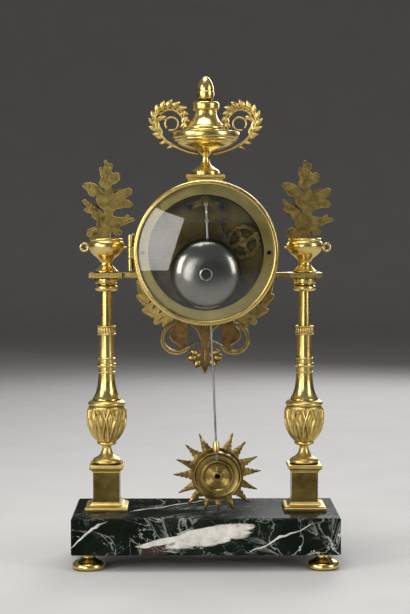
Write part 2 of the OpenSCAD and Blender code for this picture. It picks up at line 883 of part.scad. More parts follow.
// A laurel branch that rises under the bowl and curls beside the lid
module laurel() {
    t = laurel_t;
    c = [31, 8.1];
    foot = [-18.8, -16.2, -12.4, -3.6] * urn_h / 36.8;
    color("gold")
        translate([urn_r - 28.6, 0, z_lid]) {
            strap([6.6, foot[0]], [18, foot[1]], 2, 2);
            strap([17.6, foot[1] - 0.1], [27.9, foot[2]], 2, 2);
            strap([27.2, foot[2] - 0.4], [38, foot[3]], 2, 2);
            bend(c, 13, -60, 200, 2);
            bend([29, 8], 5.6, -20, 300, 1.5);
            strap([34, 6], [43, 4], 1.6, 1.6);
            for (i = [0:9])
                let (a = -52 + i * 23, p = c + polar(13, a)) {
                    leaf(p, p + polar(i < 9 ? 8.2 : 5, a + 52), 3.4, t);
                    leaf(p, p + polar(7.4, a + 132), 3.1, t * 0.85);
                }
            for (q = [[14, -17.4, 24, -21.4], [20, -15.6, 30, -18.8], [26, -13.4, 35.6, -14.6], [30, -10.4, 40, -10.8]])
                leaf([q[0], q[1]], [q[2], q[3]], 3.6, t * 1.1);
            leaf([28, -11.8], [30.6, -3.4], 3.2, t);
            leaf([29, 2.4], [24, 8.6], 3, t);
            leaf([33.6, 10.6], [28, 13], 3, t);
        }
}

module laurel_handle_right() {
    laurel();
}

module laurel_handle_left() {
    mirror([1, 0, 0])
        laurel();
}

// A round knob of the apron casting
module knob(p, r, t) {
    translate([p[0], 0, p[1]])
        bar_y(r, -t / 2, t / 2);
}

// Half of the openwork apron, drawn from the axis of a drum of radius 58
module apron_side(t) {
    slab(-t * 0.45, t * 0.45)
        polygon(concat([for (i = [0:7]) polar(66.4, -64 + i * 5)],
                       [for (i = [7:-1:0]) polar(56, -64 + i * 5)]));
    union() {
        for (q = [[52, -30, 61, -31.4], [52, -36, 64, -40.2], [46, -44, 58.8, -52.4], [38, -50, 49.2, -62.8],
                  [31, -52, 40.9, -66.8]])
            leaf([q[0], q[1]], [q[2], q[3]], 7.6, t * 0.8);
        bend([26.7, -76.1], 12.6, -150, 80, 3.8);
        strap([30, -56], [30.6, -64.6], 5, t * 0.7);
        strap([16.6, -82.9], [1, -81.2], 2.2, t * 0.65);
        strap([19.6, -55], [22.6, -72], 8, t * 0.85);
        knob([25.2, -73.4], 7.2, t);
        strap([24.4, -78], [23.4, -88], 3.2, t * 0.75);
        slab(-t * 0.4, t * 0.4)
            polygon([[-1, -55], [19, -55], [18, -61.6], [10.4, -63], [6, -68], [3.6, -76], [-1, -76]]);
        knob([6.5, -90], 3.4, t * 0.8);
        knob([10.4, -95.4], 3.2, t * 0.7);
        knob([6.3, -101.6], 3.6, t * 0.75);
    }
}

module apron() {
    k = drum_r / 58;
    t = apron_t / k;
    color("darkgoldenrod")
        translate([0, -apron_y, z_drum])
            difference() {
                scale(k)
                    union() {
                        for (s = [0, 1])
                            mirror([s, 0, 0])
                                apron_side(t);
                        strap([0, -55], [0, -104], 5.6, t * 0.95);
                        knob([0, -95], 7.4, t * 0.9);
                        leaf([0, -96], [0, -107.6], 6.4, t * 0.9);
                    }
                bar_y(drum_r + seat, -apron_t, apron_t);
            }
}

// Dial and hands

module dial() {
    color("ivory")
        at([0, 0])
            difference() {
                turned_y([[0, dial_back - 2], [dial_r, dial_back - 2], [dial_r, dial_back - 3], [dial_r - 1, dial_back - 3.6],
                          [dial_r * 0.66, dial_back - 4.2], [dial_r * 0.3, dial_back - 4.6], [0, dial_back - 4.7]]);
                bar_y(4.6, dial_back - 6, dial_back);
                for (p = [p_going, p_strike])
                    translate([p[0], 0, p[1]])
                        bar_y(3.4, dial_back - 6, dial_back);
            }
}

module dial_plate() {
    color("goldenrod")
        at([0, 0])
            difference() {
                bar_y(drum_r - drum_wall - seat, dial_back - 2, dial_back);
                bar_y(5, dial_back - 3, dial_back + 1);
                for (p = [p_going, p_strike])
                    translate([p[0], 0, p[1]])
                        bar_y(3.4, dial_back - 3, dial_back + 1);
            }
}

module minute_hand() {
    y1 = dial_back - 6.9;
    color("midnightblue")
        at(p_centre)
            difference() {
                union() {
                    bar_y(2.6, y1 - 0.8, y1);
                    strap_y([0, 1], [0, 34], 1.6, y1 - 0.8, y1);
                    translate([0, 0, 35.2])
                        bar_y(2.4, y1 - 0.8, y1);
                    strap_y([0, 36.6], [0, 44], 0.9, y1 - 0.8, y1);
                }
                translate([0, 0, 35.2])
                    bar_y(1.5, y1 - 2, y1 + 1);
                bar_y(1 + running, y1 - 2, y1 + 1);
            }
}

module hour_hand() {
    y1 = dial_back - 5.3;
    color("midnightblue")
        at(p_centre)
            rotate([0, 58, 0])
                difference() {
                    union() {
                        bar_y(5, y1 - 0.8, y1);
                        strap_y([0, 4], [0, 20], 1.9, y1 - 0.8, y1);
                        translate([0, 0, 21.6])
                            bar_y(2.9, y1 - 0.8, y1);
                        strap_y([0, 23.4], [0, 30], 1.1, y1 - 0.8, y1);
                    }
                    translate([0, 0, 21.6])
                        bar_y(1.9, y1 - 2, y1 + 1);
                    bar_y(3.7 + running, y1 - 2, y1 + 1);
                }
}

module strap_y(p, q, w, y0, y1) {
    translate([0, (y0 + y1) / 2, 0])
        strap(p, q, w, y1 - y0);
}

// Movement

module front_plate() {
    color("goldenrod")
        at([0, 0])
            difference() {
                union() {
                    bar_y(plate_r, front_out, front_in);
                    translate([p_minute[0], 0, p_minute[1]])
                        bar_y(1, front_out - 8, front_in);
                }
                plate_holes(front_out, front_in);
                bar_y(1.25 + running, front_out - 1, front_in + 1);
                for (p = [p_going, p_strike])
                    translate([p[0], 0, p[1]])
                        bar_y(2.4 + running, front_out - 1, front_in + 1);
                translate([p_pallet[0], 0, p_pallet[1]])
                    bar_y(pivot_r + running, front_out - 1, front_in + 1);
            }
}

module plate_holes(y0, y1) {
    for (p = pivots)
        translate([p[0], 0, p[1]])
            bar_y(pivot_r + running, y0 - 1, y1 + 1);
    for (p = pillars)
        translate([p[0], 0, p[1]])
            bar_y(1.6 + seat, y0 - 1, y1 + 1);
    translate([p_hammer[0], 0, p_hammer[1]])
        bar_y(pivot_r + 0.5 + running, y0 - 1, y1 + 1);
}

module back_plate() {
    color("goldenrod")
        at([0, 0])
            difference() {
                bar_y(plate_r, back_in, back_out);
                plate_holes(back_in, back_out);
                bar_y(pivot_r + running, back_in - 1, back_out + 1);
                translate([p_count[0], 0, p_count[1]])
                    bar_y(1 + running, back_in - 1, back_out + 1);
                translate([p_pallet[0], 0, p_pallet[1]])
                    bar_y(2.2, back_in - 1, back_out + 1);
                for (p = cock_feet)
                    translate([p[0], 0, p[1]])
                        bar_y(1 + seat, back_in - 1, back_out + 1);
            }
}

module plate_pillars() {
    color("goldenrod")
        for (p = pillars)
            at(p) {
                turned_y([[0, front_in], [2.5, front_in], [2.5, front_in + 3], [2, front_in + 4.5], [2, back_in - 4.5],
                          [2.5, back_in - 3], [2.5, back_in], [1.6, back_in], [1.6, back_out + 1], [0, back_out + 1]]);
                bar_y(1.6, dial_back, front_in);
            }
}

module back_cock() {
    y0 = back_out + 5;
    y1 = back_out + 8;
    color("gold")
        at([0, 0])
            difference() {
                union() {
                    for (p = cock_feet)
                        translate([p[0], 0, p[1]])
                            bar_y(3.2, back_out, y1);
                    for (s = [-1, 1])
                        strap_y([s * 13.5, 38], [0, pivot_up], 5, y0, y1);
                    translate([0, 0, pivot_up])
                        bar_y(4.4, y0, y1);
                    translate([0, 0, pivot_up])
                        bar_y(1, y1 - 0.5, rod_y + 2);
                    translate([0, 0, pivot_up])
                        bar_y(1.6, rod_y + 1.2, rod_y + 2);
                }
                translate([0, 0, pivot_up])
                    bar_y(pivot_r + running, y0 - 1, y0 + 2.2);
                for (p = cock_feet)
                    translate([p[0], 0, p[1]])
                        bar_y(1 + seat, back_out - 1, y1 + 1);
            }
}

module movement_screws() {
    color("midnightblue") {
        for (p = cock_feet)
            at(p) {
                bar_y(1, back_in - 0.5, back_out + 8);
                bar_y(2.4, back_out + 8, back_out + 9.4);
            }
        at(p_bell)
            difference() {
                union() {
                    bar_y(6.3, bell_y + 13.2, bell_y + 13.8);
                    bar_y(3.7, bell_y + 13.5, bell_y + 14.7);
                }
                bar_y(1.5 + seat, bell_y + 13, bell_y + 15);
            }
    }
}

// The bell hangs over its stand, its mouth towards the back plate
module bell() {
    y = bell_y;
    k = bell_r / 29.5;
    outer = [[29.5, 0], [29.1, 2.5], [27.6, 5.6], [24.6, 8.6], [19.2, 11.2], [12, 12.8], [5, 13.2]];
    inner = [[5, 11.6], [11.5, 11.2], [18.2, 9.7], [23.2, 7.3], [26, 4.8], [27.4, 2.2], [27.8, 0]];
    color("slategray")
        at(p_bell)
            turned_y(concat([for (q = outer) [q[0] * k, y + q[1]]], [[1.5 + seat, y + 13.2], [1.5 + seat, y + 11.6]],
                            [for (q = inner) [q[0] * k, y + q[1]]]));
}

module bell_stand() {
    d = p_stand - p_bell;
    color("goldenrod")
        at(p_bell) {
            translate([d[0], 0, d[1]]) {
                bar_y(4, back_out, back_out + 2);
                bar_y(2, back_out, bell_y + 5);
            }
            strap_y([0, 0], d, 4, bell_y + 2.6, bell_y + 5);
            bar_y(3, bell_y + 2.6, bell_y + 11.6);
            bar_y(1.5, bell_y + 2.6, bell_y + 14.7);
        }
}

// A spring barrel with its great wheel and winding square
module barrel(p, next, w0, w1, d0, d1) {
    color("goldenrod")
        at(p) {
            slab(layer(w0), layer(w1))
                teeth(great_n, great_m, toward(p, next));
            bar_y(barrel_r, min(layer(d0), layer(w0)), max(layer(d1), layer(w1)));
            bar_y(2.4, front_out - 2, front_in + 3);
            bar_y(2.6, layer(1), back_in - gap);
            bar_y(pivot_r, back_in - 1, back_out - seat);
            slab(dial_back - 3.2, front_out - 1.5)
                square([3, 3], center = true);
        }
}

module going_barrel() {
    barrel(p_going, p_inter, 2, 4, 4, 22);
}

module strike_barrel() {
    barrel(p_strike, p_count, 20, 22, 2, 20);
}

module intermediate_wheel() {
    color("goldenrod")
        at(p_inter) {
            arbor(1);
            pinion(great_pinion, great_m, gap_toward(p_inter, p_going, great_pinion), layer(1), layer(6));
            wheel(wheel_n, wheel_m, toward(p_inter, p_centre), layer(25), layer(26.5));
        }
}

module centre_wheel() {
    color("goldenrod")
        at(p_centre) {
            bar_y(1.25, front_out - 0.3, back_in - gap);
            bar_y(1, dial_back - 8.4, front_out);
            bar_y(pivot_r, back_in - 1, back_out - seat);
            pinion(centre_pinion, wheel_m, gap_toward(p_centre, p_inter, centre_pinion), layer(23.5), layer(28));
            wheel(wheel_n, wheel_m, toward(p_centre, p_third), layer(30), layer(31.5));
        }
}

module cannon_pinion() {
    color("goldenrod")
        at(p_centre)
            difference() {
                union() {
                    pinion(cannon_n, motion_m, gap_toward(p_centre, p_minute, cannon_n), front_out - 3.4, front_out - 0.6);
                    bar_y(1.9, dial_back - 6.9, front_out - 0.6);
                }
                bar_y(1 + running, dial_back - 9, front_out);
            }
}

module minute_wheel() {
    color("goldenrod")
        at(p_minute)
            difference() {
                union() {
                    wheel(minute_n, motion_m, toward(p_minute, p_centre), front_out - 2.8, front_out - 1.2);
                    pinion(minute_pinion, hour_m, gap_toward(p_minute, p_centre, minute_pinion), front_out - 7.2, front_out - 2);
                }
                bar_y(1 + running, front_out - 9, front_out);
            }
}

module hour_wheel() {
    color("goldenrod")
        at(p_centre)
            difference() {
                union() {
                    wheel(hour_n, hour_m, toward(p_centre, p_minute), front_out - 6.6, front_out - 4.6);
                    bar_y(3.7, dial_back - 6.1, front_out - 4.6);
                }
                bar_y(1.9 + running, dial_back - 9, front_out);
            }
}

module third_wheel() {
    color("goldenrod")
        at(p_third) {
            arbor(0.9);
            pinion(leaf_n, wheel_m, gap_toward(p_third, p_centre, leaf_n), layer(29), layer(33.5));
            wheel(third_n, wheel_m, toward(p_third, p_escape), layer(27.3), layer(28.5));
        }
}

module escape_wheel() {
    r = escape_r;
    p = 360 / escape_n;
    color("goldenrod")
        at(p_escape) {
            arbor(0.9);
            pinion(leaf_n, wheel_m, gap_toward(p_escape, p_third, leaf_n), layer(26), layer(30));
            difference() {
                slab(layer(18), layer(19.2))
                    polygon([for (i = [0:escape_n - 1])
                        each [polar(r - 1.3, i * p), polar(r, i * p + p * 0.34), polar(r, i * p + p * 0.46),
                              polar(r - 1.3, i * p + p * 0.62)]]);
                for (i = [0:3])
                    slab(layer(17), layer(20.5))
                        rotate([0, 0, 90 * i])
                            polygon(concat([for (k = [-3:3]) polar(r - 2.6, 11.5 * k)],
                                           [for (k = [2:-1:-2]) polar(2.6, 12 * k)]));
            }
        }
}

// Pallets, arbor and crutch rock together about the suspension axis
module pallet_anchor() {
    y0 = back_out + 1.5;
    fork = pivot_up - 33.5;
    reach = pivot_up - escape_up;
    color("slategray")
        at(p_pallet)
            rotate([0, rest_tilt, 0]) {
                bar_y(0.9, front_in + gap, back_out + 4.4);
                bar_y(pivot_r, front_out + seat, back_out + 7);
                translate([0, layer(18.6), 0]) {
                    bar_y(2.2, -1.3, 1.3);
                    for (s = [-1, 1]) {
                        strap([0, 0], [s * 8.6, -4.2], 2.2, 2.2);
                        strap([s * 8.4, -3.4], [s * 7.9, 1.6 - reach + 7.2], 1.6, 2.4);
                    }
                }
                strap_y([0, 0], [0, -33.5], 2, y0, y0 + 1.4);
                bar_y(2, y0, y0 + 1.4);
                for (s = [-1, 1])
                    translate([s * (rod_r + gap + 0.6) - 0.6, y0, -33.5])
                        cube([1.2, rod_y + 1.4 - y0, 3]);
                translate([-rod_r - gap - 1.2, y0, -33.5])
                    cube([2 * (rod_r + gap + 1.2), 1.4, 3]);
            }
}

module count_arbor() {
    color("goldenrod")
        at(p_count) {
            bar_y(1, front_in + gap, back_out + 3.4);
            bar_y(pivot_r, front_out + seat, back_out);
            pinion(great_pinion, great_m, gap_toward(p_count, p_strike, great_pinion), layer(19), layer(23.5));
            wheel(count_n, count_m, toward(p_count, p_pin), layer(26), layer(27.2));
        }
}

// The count wheel's notches stand as far apart as the hours they let strike
function hours_before(h) = h <= 0 ? 0 : h + 1 + hours_before(h - 1);

module count_wheel() {
    r = 14.5;
    y0 = back_out + 1.5;
    y1 = back_out + 3;
    color("gold")
        at(p_count)
            difference() {
                bar_y(r, y0, y1);
                for (h = [0:11])
                    rotate([0, -4 * hours_before(h), 0])
                        translate([r - 1.4, y0 - 1, -0.7])
                            cube([4, 4, 1.4]);
                for (i = [0:3])
                    slab(y0 - 1, y1 + 1)
                        rotate([0, 0, 90 * i + 20])
                            polygon(concat([for (k = [-3:3]) polar(r - 3.4, 11.5 * k)],
                                           [for (k = [2:-1:-2]) polar(4, 12 * k)]));
                bar_y(1 + seat, y0 - 1, y1 + 1);
            }
}

module pin_wheel() {
    color("goldenrod")
        at(p_pin) {
            arbor(0.9);
            pinion(leaf_n, count_m, gap_toward(p_pin, p_count, leaf_n), layer(24.5), layer(28.5));
            wheel(pin_n, pin_m, toward(p_pin, p_fly), layer(14), layer(15.2));
            for (i = [0:strike_pins - 1])
                rotate([0, 360 / strike_pins * i, 0])
                    translate([6.9, 0, 0])
                        bar_y(0.45, layer(14.6), layer(18.6));
        }
}

module fly() {
    color("goldenrod")
        at(p_fly) {
            arbor(0.8);
            pinion(leaf_n, pin_m, gap_toward(p_fly, p_pin, leaf_n), layer(12.5), layer(16.5));
            translate([-5.5, layer(19.2), -0.35])
                cube([11, layer(30) - layer(19.2), 0.7]);
        }
}

// The hammer waits beside the bell's rim and lifts away from it
module hammer() {
    y0 = back_out + 5;
    head = p_bell + polar(bell_r + 3.93, 120.17) - p_hammer;
    color("slategray")
        at(p_hammer) {
            bar_y(1.2, front_in + gap, y0 + 2.5);
            bar_y(pivot_r + 0.5, front_out + seat, y0);
            bar_y(2.2, y0, y0 + 2.5);
            strap_y([0, 0], head, 1.8, y0, y0 + 2.5);
            translate([head[0], 0, head[1]])
                bar_y(2.6, y0 - 0.4, bell_y + 3);
            strap_y([0, 0], [-4.4, -0.4], 1.4, layer(16.6), layer(18.4));
        }
}

// Pendulum, built upright and leant about the suspension

bob_z = z_base + bob_clear + low_ray;
pivot_z = z_drum + pivot_up;
pendulum_l = pivot_z - bob_z;

module leant() {
    translate([0, 0, pivot_z])
        rotate([0, rest_tilt, 0])
            children();
}

module silk_loop() {
    color("beige")
        leant()
            translate([0, rod_y, 0]) {
                rotate([90, 0, 0])
                    rotate_extrude()
                        translate([1.6, 0])
                            circle(0.35, $fn = 24);
                for (s = [-1, 1])
                    translate([s * 1.55, 0, 0])
                        rotate([0, s * 3.4, 0])
                            translate([0, 0, -15])
                                cylinder(r = 0.3, h = 15);
            }
}

module pendulum_rod() {
    color("slategray")
        leant()
            translate([0, rod_y, 0]) {
                translate([0, 0, -pendulum_l])
                    cylinder(r = rod_r, h = pendulum_l - 16.4);
                translate([0, 0, -16.6])
                    cube([3.4, 2.2, 2.8], center = true);
            }
}

module pendulum_bob() {
    y = rod_y;
    e = rod_y + bob_deep;
    r = bob_r;
    b = boss_r;
    color("goldenrod")
        leant()
            translate([0, 0, -pendulum_l])
                difference() {
                    union() {
                        turned_y([[2, y - 2], [r, y - 2], [r, e + 2.6], [r - 1, e + 3.2], [r - 2.2, e + 2.4], [r - 3.2, e - 0.2],
                                  [r - 4.4, e - 1.1], [b, e - 1.1], [b, e + 3.6], [b - 0.8, e + 4.6], [b - 2, e + 4.6],
                                  [b - 2.4, e + 4], [b - 4.4, e + 4], [b - 4.8, e + 4.9], [b - 6.4, e + 5.4],
                                  [3.2, e + 5.4], [3.2, e + 6.4], [2, e + 6.4]]);
                        translate([-2.6, y - 2, r - 1])
                            cube([5.2, 4.6, 8]);
                    }
                    translate([0, y, 0])
                        cylinder(r = rod_r + seat, h = r + 12);
                    translate([0, y, -2])
                        cylinder(r = rod_r + seat, h = 4);
                }
}

// A ray's reach at an angle from the top, cut by the marble even where the pendulum swings
function ray_reach(a) = min(sun_r, low_ray / cos(max(0, min(60, abs(180 - a) - 6))));

module sun_plate() {
    y1 = rod_y - 2;
    k = sun_r / 35.8;
    step = 360 / sun_rays;
    color("darkgoldenrod")
        leant()
            translate([0, 0, -pendulum_l])
                difference() {
                    union() {
                        bar_y(22 * k, y1 - 1.8, y1);
                        for (i = [1:sun_rays - 1])
                            slab(y1 - 1.8, y1)
                                rotate([0, 0, 90 + step * i])
                                    scale([ray_reach(step * i) / 35.8, k])
                                        polygon([[20, -4.1], [24.4, -3.1], [25.4, -3.5], [29.4, -1.8], [30.2, -2.1],
                                                 [35.8, 0], [30.2, 2.1], [29.4, 1.8], [25.4, 3.5], [24.4, 3.1], [20, 4.1]]);
                    }
                    bar_y(2, y1 - 3, y1 + 1);
                }
}

marble_plinth();
feet();
tie_rods();
pedestal_bases();
pedestal_dies();
pedestal_caps();
lotus_cups();
column_shaft_left();
column_shaft_right();
column_collars();
column_capitals();
struts();
vase_left();
vase_right();
flower_spray_left();
flower_spray_right();
drum_shell();
rear_ring();
hinge_pins();
rear_bezel();
rear_glass();
front_bezel();
front_glass();
crest_plinth();
urn_bowl();
urn_lid();
urn_finial();
laurel_handle_left();
laurel_handle_right();
apron();
dial();
dial_plate();
minute_hand();
hour_hand();
front_plate();
back_plate();
plate_pillars();
back_cock();
movement_screws();
bell();
bell_stand();
going_barrel();
strike_barrel();
intermediate_wheel();
centre_wheel();
cannon_pinion();
minute_wheel();
hour_wheel();
third_wheel();
escape_wheel();
pallet_anchor();
count_arbor();
count_wheel();
pin_wheel();
fly();
hammer();
silk_loop();
pendulum_rod();
pendulum_bob();
sun_plate();
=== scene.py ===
# %% [markdown]
# # A portico mantel clock, dressed for the camera
# The clock stands with its dial towards -Y, and the picture is taken from behind, from the +Y side, where the
# bell and the movement show through a domed glass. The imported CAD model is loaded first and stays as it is:
# every piece made here is laid over a CAD node, in the same frame and in metres, and rides on the same body.

# %% Load the frame
import json
from math import cos, exp, pi, radians, sin

import bmesh
import bpy
from mathutils import Matrix, Vector


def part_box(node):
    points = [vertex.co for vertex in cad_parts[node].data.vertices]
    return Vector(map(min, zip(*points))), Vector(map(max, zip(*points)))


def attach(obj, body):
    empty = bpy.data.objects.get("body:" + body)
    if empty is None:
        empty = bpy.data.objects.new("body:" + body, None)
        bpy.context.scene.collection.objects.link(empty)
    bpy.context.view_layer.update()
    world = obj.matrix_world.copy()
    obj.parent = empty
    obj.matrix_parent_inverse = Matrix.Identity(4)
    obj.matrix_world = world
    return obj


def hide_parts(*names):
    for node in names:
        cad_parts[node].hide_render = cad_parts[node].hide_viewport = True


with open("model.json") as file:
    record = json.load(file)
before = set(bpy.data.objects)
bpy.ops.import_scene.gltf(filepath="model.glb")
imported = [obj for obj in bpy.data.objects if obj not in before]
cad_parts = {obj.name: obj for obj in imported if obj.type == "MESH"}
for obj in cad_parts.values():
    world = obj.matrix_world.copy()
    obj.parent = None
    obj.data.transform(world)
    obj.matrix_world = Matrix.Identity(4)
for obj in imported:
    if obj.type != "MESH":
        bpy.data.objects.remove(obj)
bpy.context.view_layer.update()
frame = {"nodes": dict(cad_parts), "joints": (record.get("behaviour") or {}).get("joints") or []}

scene = bpy.context.scene
scene.view_settings.view_transform = "Standard"

# %% [markdown]
# ## The camera
# The edges of the slab, the rim of the drum and the tip of the crest were measured in the picture, and the lens
# was fitted to them: 1.3 m behind the clock, a little above the drum's middle, a finger's breadth to the left
# and tipped down by three degrees. The long side of the picture is its height of 614 pixels.

# %% Camera
PICTURE_HEIGHT = 614
FOCAL_PIXELS = 1556
lens = bpy.data.cameras.new("photo_lens")
lens.sensor_width = 36.0
lens.lens = lens.sensor_width * FOCAL_PIXELS / PICTURE_HEIGHT
camera = bpy.data.objects.new("photo_camera", lens)
camera.location = (0.0135, 1.325, 0.2901)
camera.rotation_euler = (radians(90 - 3.14), 0.0, radians(180 - 0.566))
scene.collection.objects.link(camera)
scene.camera = camera
print("lens", round(lens.lens, 1), "mm")

# %% [markdown]
# ## Pieces from mesh code
# Nearly everything here is either turned on a lathe, cast, or filed from plate, so a few helpers cover most of
# it. `flow` rounds a profile: plain points are joined by smooth curves, and a point with a 1 behind it is a
# corner. `lathe` spins such a profile, and `closed_skin` joins any row of rings into a solid. `piece` turns a
# bmesh into an object, keeps its sharp edges sharp, gives it a finish, and hangs it on the CAD body that carries
# the node it stands for.

# %% Helpers for profiles and pieces
MM = 0.001
AXIS_R = 0.02  # a turned profile stops this close to its axis


def flow(points, steps=5):
    """Profile points as a finer list, smooth everywhere but at the corners."""
    spot = [Vector(p[:2]) for p in points]
    corner = [len(p) > 2 or i in (0, len(points) - 1) for i, p in enumerate(points)]
    slope = [(b - a).normalized() for a, b in zip(spot, spot[1:])]
    fine = [spot[0]]
    for i, (a, b) in enumerate(zip(spot, spot[1:])):
        size = (b - a).length
        start = slope[i] if corner[i] else (slope[i - 1] + slope[i]).normalized()
        end = slope[i] if corner[i + 1] else (slope[i] + slope[i + 1]).normalized()
        count = 1 if corner[i] and corner[i + 1] else steps
        for k in range(1, count + 1):
            t = k / count
            fine.append(a * (2 * t**3 - 3 * t**2 + 1) + b * (3 * t**2 - 2 * t**3)
                        + start * size * (t**3 - 2 * t**2 + t) + end * size * (t**3 - t**2))
    return [(p.x, p.y) for p in fine]


def circle(steps):
    """Cosine and sine of angles spread evenly round a circle."""
    return [(cos(2 * pi * i / steps), sin(2 * pi * i / steps)) for i in range(steps)]


def skin(bm, rings):
    """Faces between rings of vertices, each ring joined to the next."""
    for low, high in zip(rings, rings[1:]):
        for i in range(len(low)):
            j = (i + 1) % len(low)
            bm.faces.new((low[i], low[j], high[j], high[i]))


def closed_skin(bm, rings):
    """The same, with a face over the first ring and over the last."""
    skin(bm, rings)
    bm.faces.new(rings[0])
    bm.faces.new(rings[-1])


def lathe(bm, profile, steps, move):
    """A turned solid about Z from (radius, height) points in millimetres; a profile that closes makes a ring."""
    (r0, z0), (r1, z1) = profile[0], profile[-1]
    loop = abs(r0 - r1) + abs(z0 - z1) < 1e-6
    rings = []
    for r, z in profile[:-1] if loop else profile:
        r = max(r, AXIS_R)
        rings.append([bm.verts.new(move @ Vector((r * c, r * s, z))) for c, s in circle(steps)])
    if loop:
        skin(bm, rings + rings[:1])
    else:
        closed_skin(bm, rings)


def piece(name, bm, finish, body, nodes=(), sharp=32, front=None):
    """An object from a bmesh in millimetres that rides on a body and stands for some CAD nodes.

    A second finish, front, goes on the faces that look towards the dial side.
    """
    bmesh.ops.scale(bm, vec=(MM, MM, MM), verts=bm.verts)
    bmesh.ops.recalc_face_normals(bm, faces=bm.faces)
    for edge in bm.edges:
        edge.smooth = len(edge.link_faces) == 2 and edge.calc_face_angle(0) < radians(sharp)
    for face in bm.faces:
        face.smooth = True
    mesh = bpy.data.meshes.new(name)
    bm.to_mesh(mesh)
    bm.free()
    mesh.materials.append(finish)
    if front:
        mesh.materials.append(front)
        for face in mesh.polygons:
            face.material_index = 1 if face.normal.y < -0.2 else 0
    made = bpy.data.objects.new(name, mesh)
    scene.collection.objects.link(made)
    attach(made, body)
    if nodes:
        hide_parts(*nodes)
    print(name, "faces:", len(mesh.polygons))


def turned(name, profile, steps, move, finish, body, nodes=()):
    """A piece that is one turned solid."""
    bm = bmesh.new()
    lathe(bm, profile, steps, move)
    piece(name, bm, finish, body, nodes)


ALONG_Y = Matrix.Rotation(-pi / 2, 4, "X")


def shift(x, y, z):
    return Matrix.Translation((x, y, z))


# %% [markdown]
# ## Finishes from nodes
# No picture is used. Every finish is a Principled shader whose colour, roughness and fine relief come from
# noise in the object's own coordinates, so it looks the same from all sides. `add` makes a node and wires it, and
# each of the small helpers after it adds one kind of node.

# %% Helpers for finishes
def new_finish(name):
    finish = bpy.data.materials.new(name)
    finish.use_nodes = True
    return finish, finish.node_tree, finish.node_tree.nodes["Principled BSDF"]


def wire(tree, node, inputs):
    """Links each named input of a node to a socket, or sets it to a value."""
    for key, value in inputs.items():
        if isinstance(value, bpy.types.NodeSocket):
            tree.links.new(value, node.inputs[key])
        else:
            node.inputs[key].default_value = value


def add(tree, kind, inputs, **settings):
    """A new node of a kind, with its settings and its inputs."""
    node = tree.nodes.new("ShaderNode" + kind)
    for key, value in settings.items():
        setattr(node, key, value)
    wire(tree, node, inputs)
    return node


def spots(tree):
    return add(tree, "TexCoord", {}).outputs["Object"]


def stretched(tree, vector, scale, turn=(0, 0, 0)):
    """The same places, turned and squeezed."""
    angles = [radians(a) for a in turn]
    return add(tree, "Mapping", {"Vector": vector, "Scale": scale, "Rotation": angles}).outputs["Vector"]


def noise(tree, vector, scale, detail=3.0, rough=0.5, twist=0.0):
    return add(tree, "TexNoise", {"Vector": vector, "Scale": scale, "Detail": detail, "Roughness": rough,
                                  "Distortion": twist}).outputs["Fac"]


def ramp(tree, factor, stops):
    """Colours or greys along a factor; a stop is (place, colour or grey)."""
    node = tree.nodes.new("ShaderNodeValToRGB")
    marks = node.color_ramp.elements
    while len(marks) < len(stops):
        marks.new(0.5)
    for mark, (place, value) in zip(marks, stops):
        mark.position = place
        mark.color = (*value, 1) if isinstance(value, tuple) else (value, value, value, 1)
    tree.links.new(factor, node.inputs["Fac"])
    return node.outputs["Color"]


def mixed(tree, factor, low, high, how="MIX"):
    """Two colours mixed by a factor socket or a number."""
    node = tree.nodes.new("ShaderNodeMix")
    node.data_type = "RGBA"
    node.blend_type = how
    for key, value in (("Factor", factor), ("A", low), ("B", high)):
        socket = [s for s in node.inputs if s.name == key and s.enabled][0]
        if isinstance(value, bpy.types.NodeSocket):
            tree.links.new(value, socket)
        else:
            socket.default_value = (*value, 1) if isinstance(value, tuple) else value
    return [s for s in node.outputs if s.enabled][0]


def hollows(tree, reach):
    """White on open surfaces and dark in hollows narrower than the reach."""
    return add(tree, "AmbientOcclusion", {"Distance": reach}, samples=8).outputs["AO"]


def relief(tree, shader, height, strength, depth):
    bump = add(tree, "Bump", {"Height": height, "Strength": strength, "Distance": depth})
    wire(tree, shader, {"Normal": bump.outputs["Normal"]})


def metal(name, dark, light, gloss, grain, dirt_and_shade, scratch, reach=0.004):
    """A metal whose colour wanders from dark to light, with a roughness range, and dirt and painted shade in its
    hollows.
    """
    finish, tree, shader = new_finish(name)
    where = spots(tree)
    colour = ramp(tree, noise(tree, where, grain, 5.0, 0.6, 0.4), [(0.3, dark), (0.66, light)])
    # Dirt and painted shade: where the occlusion mask finds a hollow, the colour darkens towards this tone.
    if dirt_and_shade:
        colour = mixed(tree, ramp(tree, hollows(tree, reach), [(0.35, 0.0), (0.85, 1.0)]), dirt_and_shade, colour)
    rough = ramp(tree, noise(tree, where, grain * 2.2, 4.0), [(0.3, gloss[0]), (0.75, gloss[1])])
    wire(tree, shader, {"Base Color": colour, "Roughness": rough, "Metallic": 1.0})
    relief(tree, shader, noise(tree, where, grain * 18, 3.0), scratch, 0.0004)
    return finish
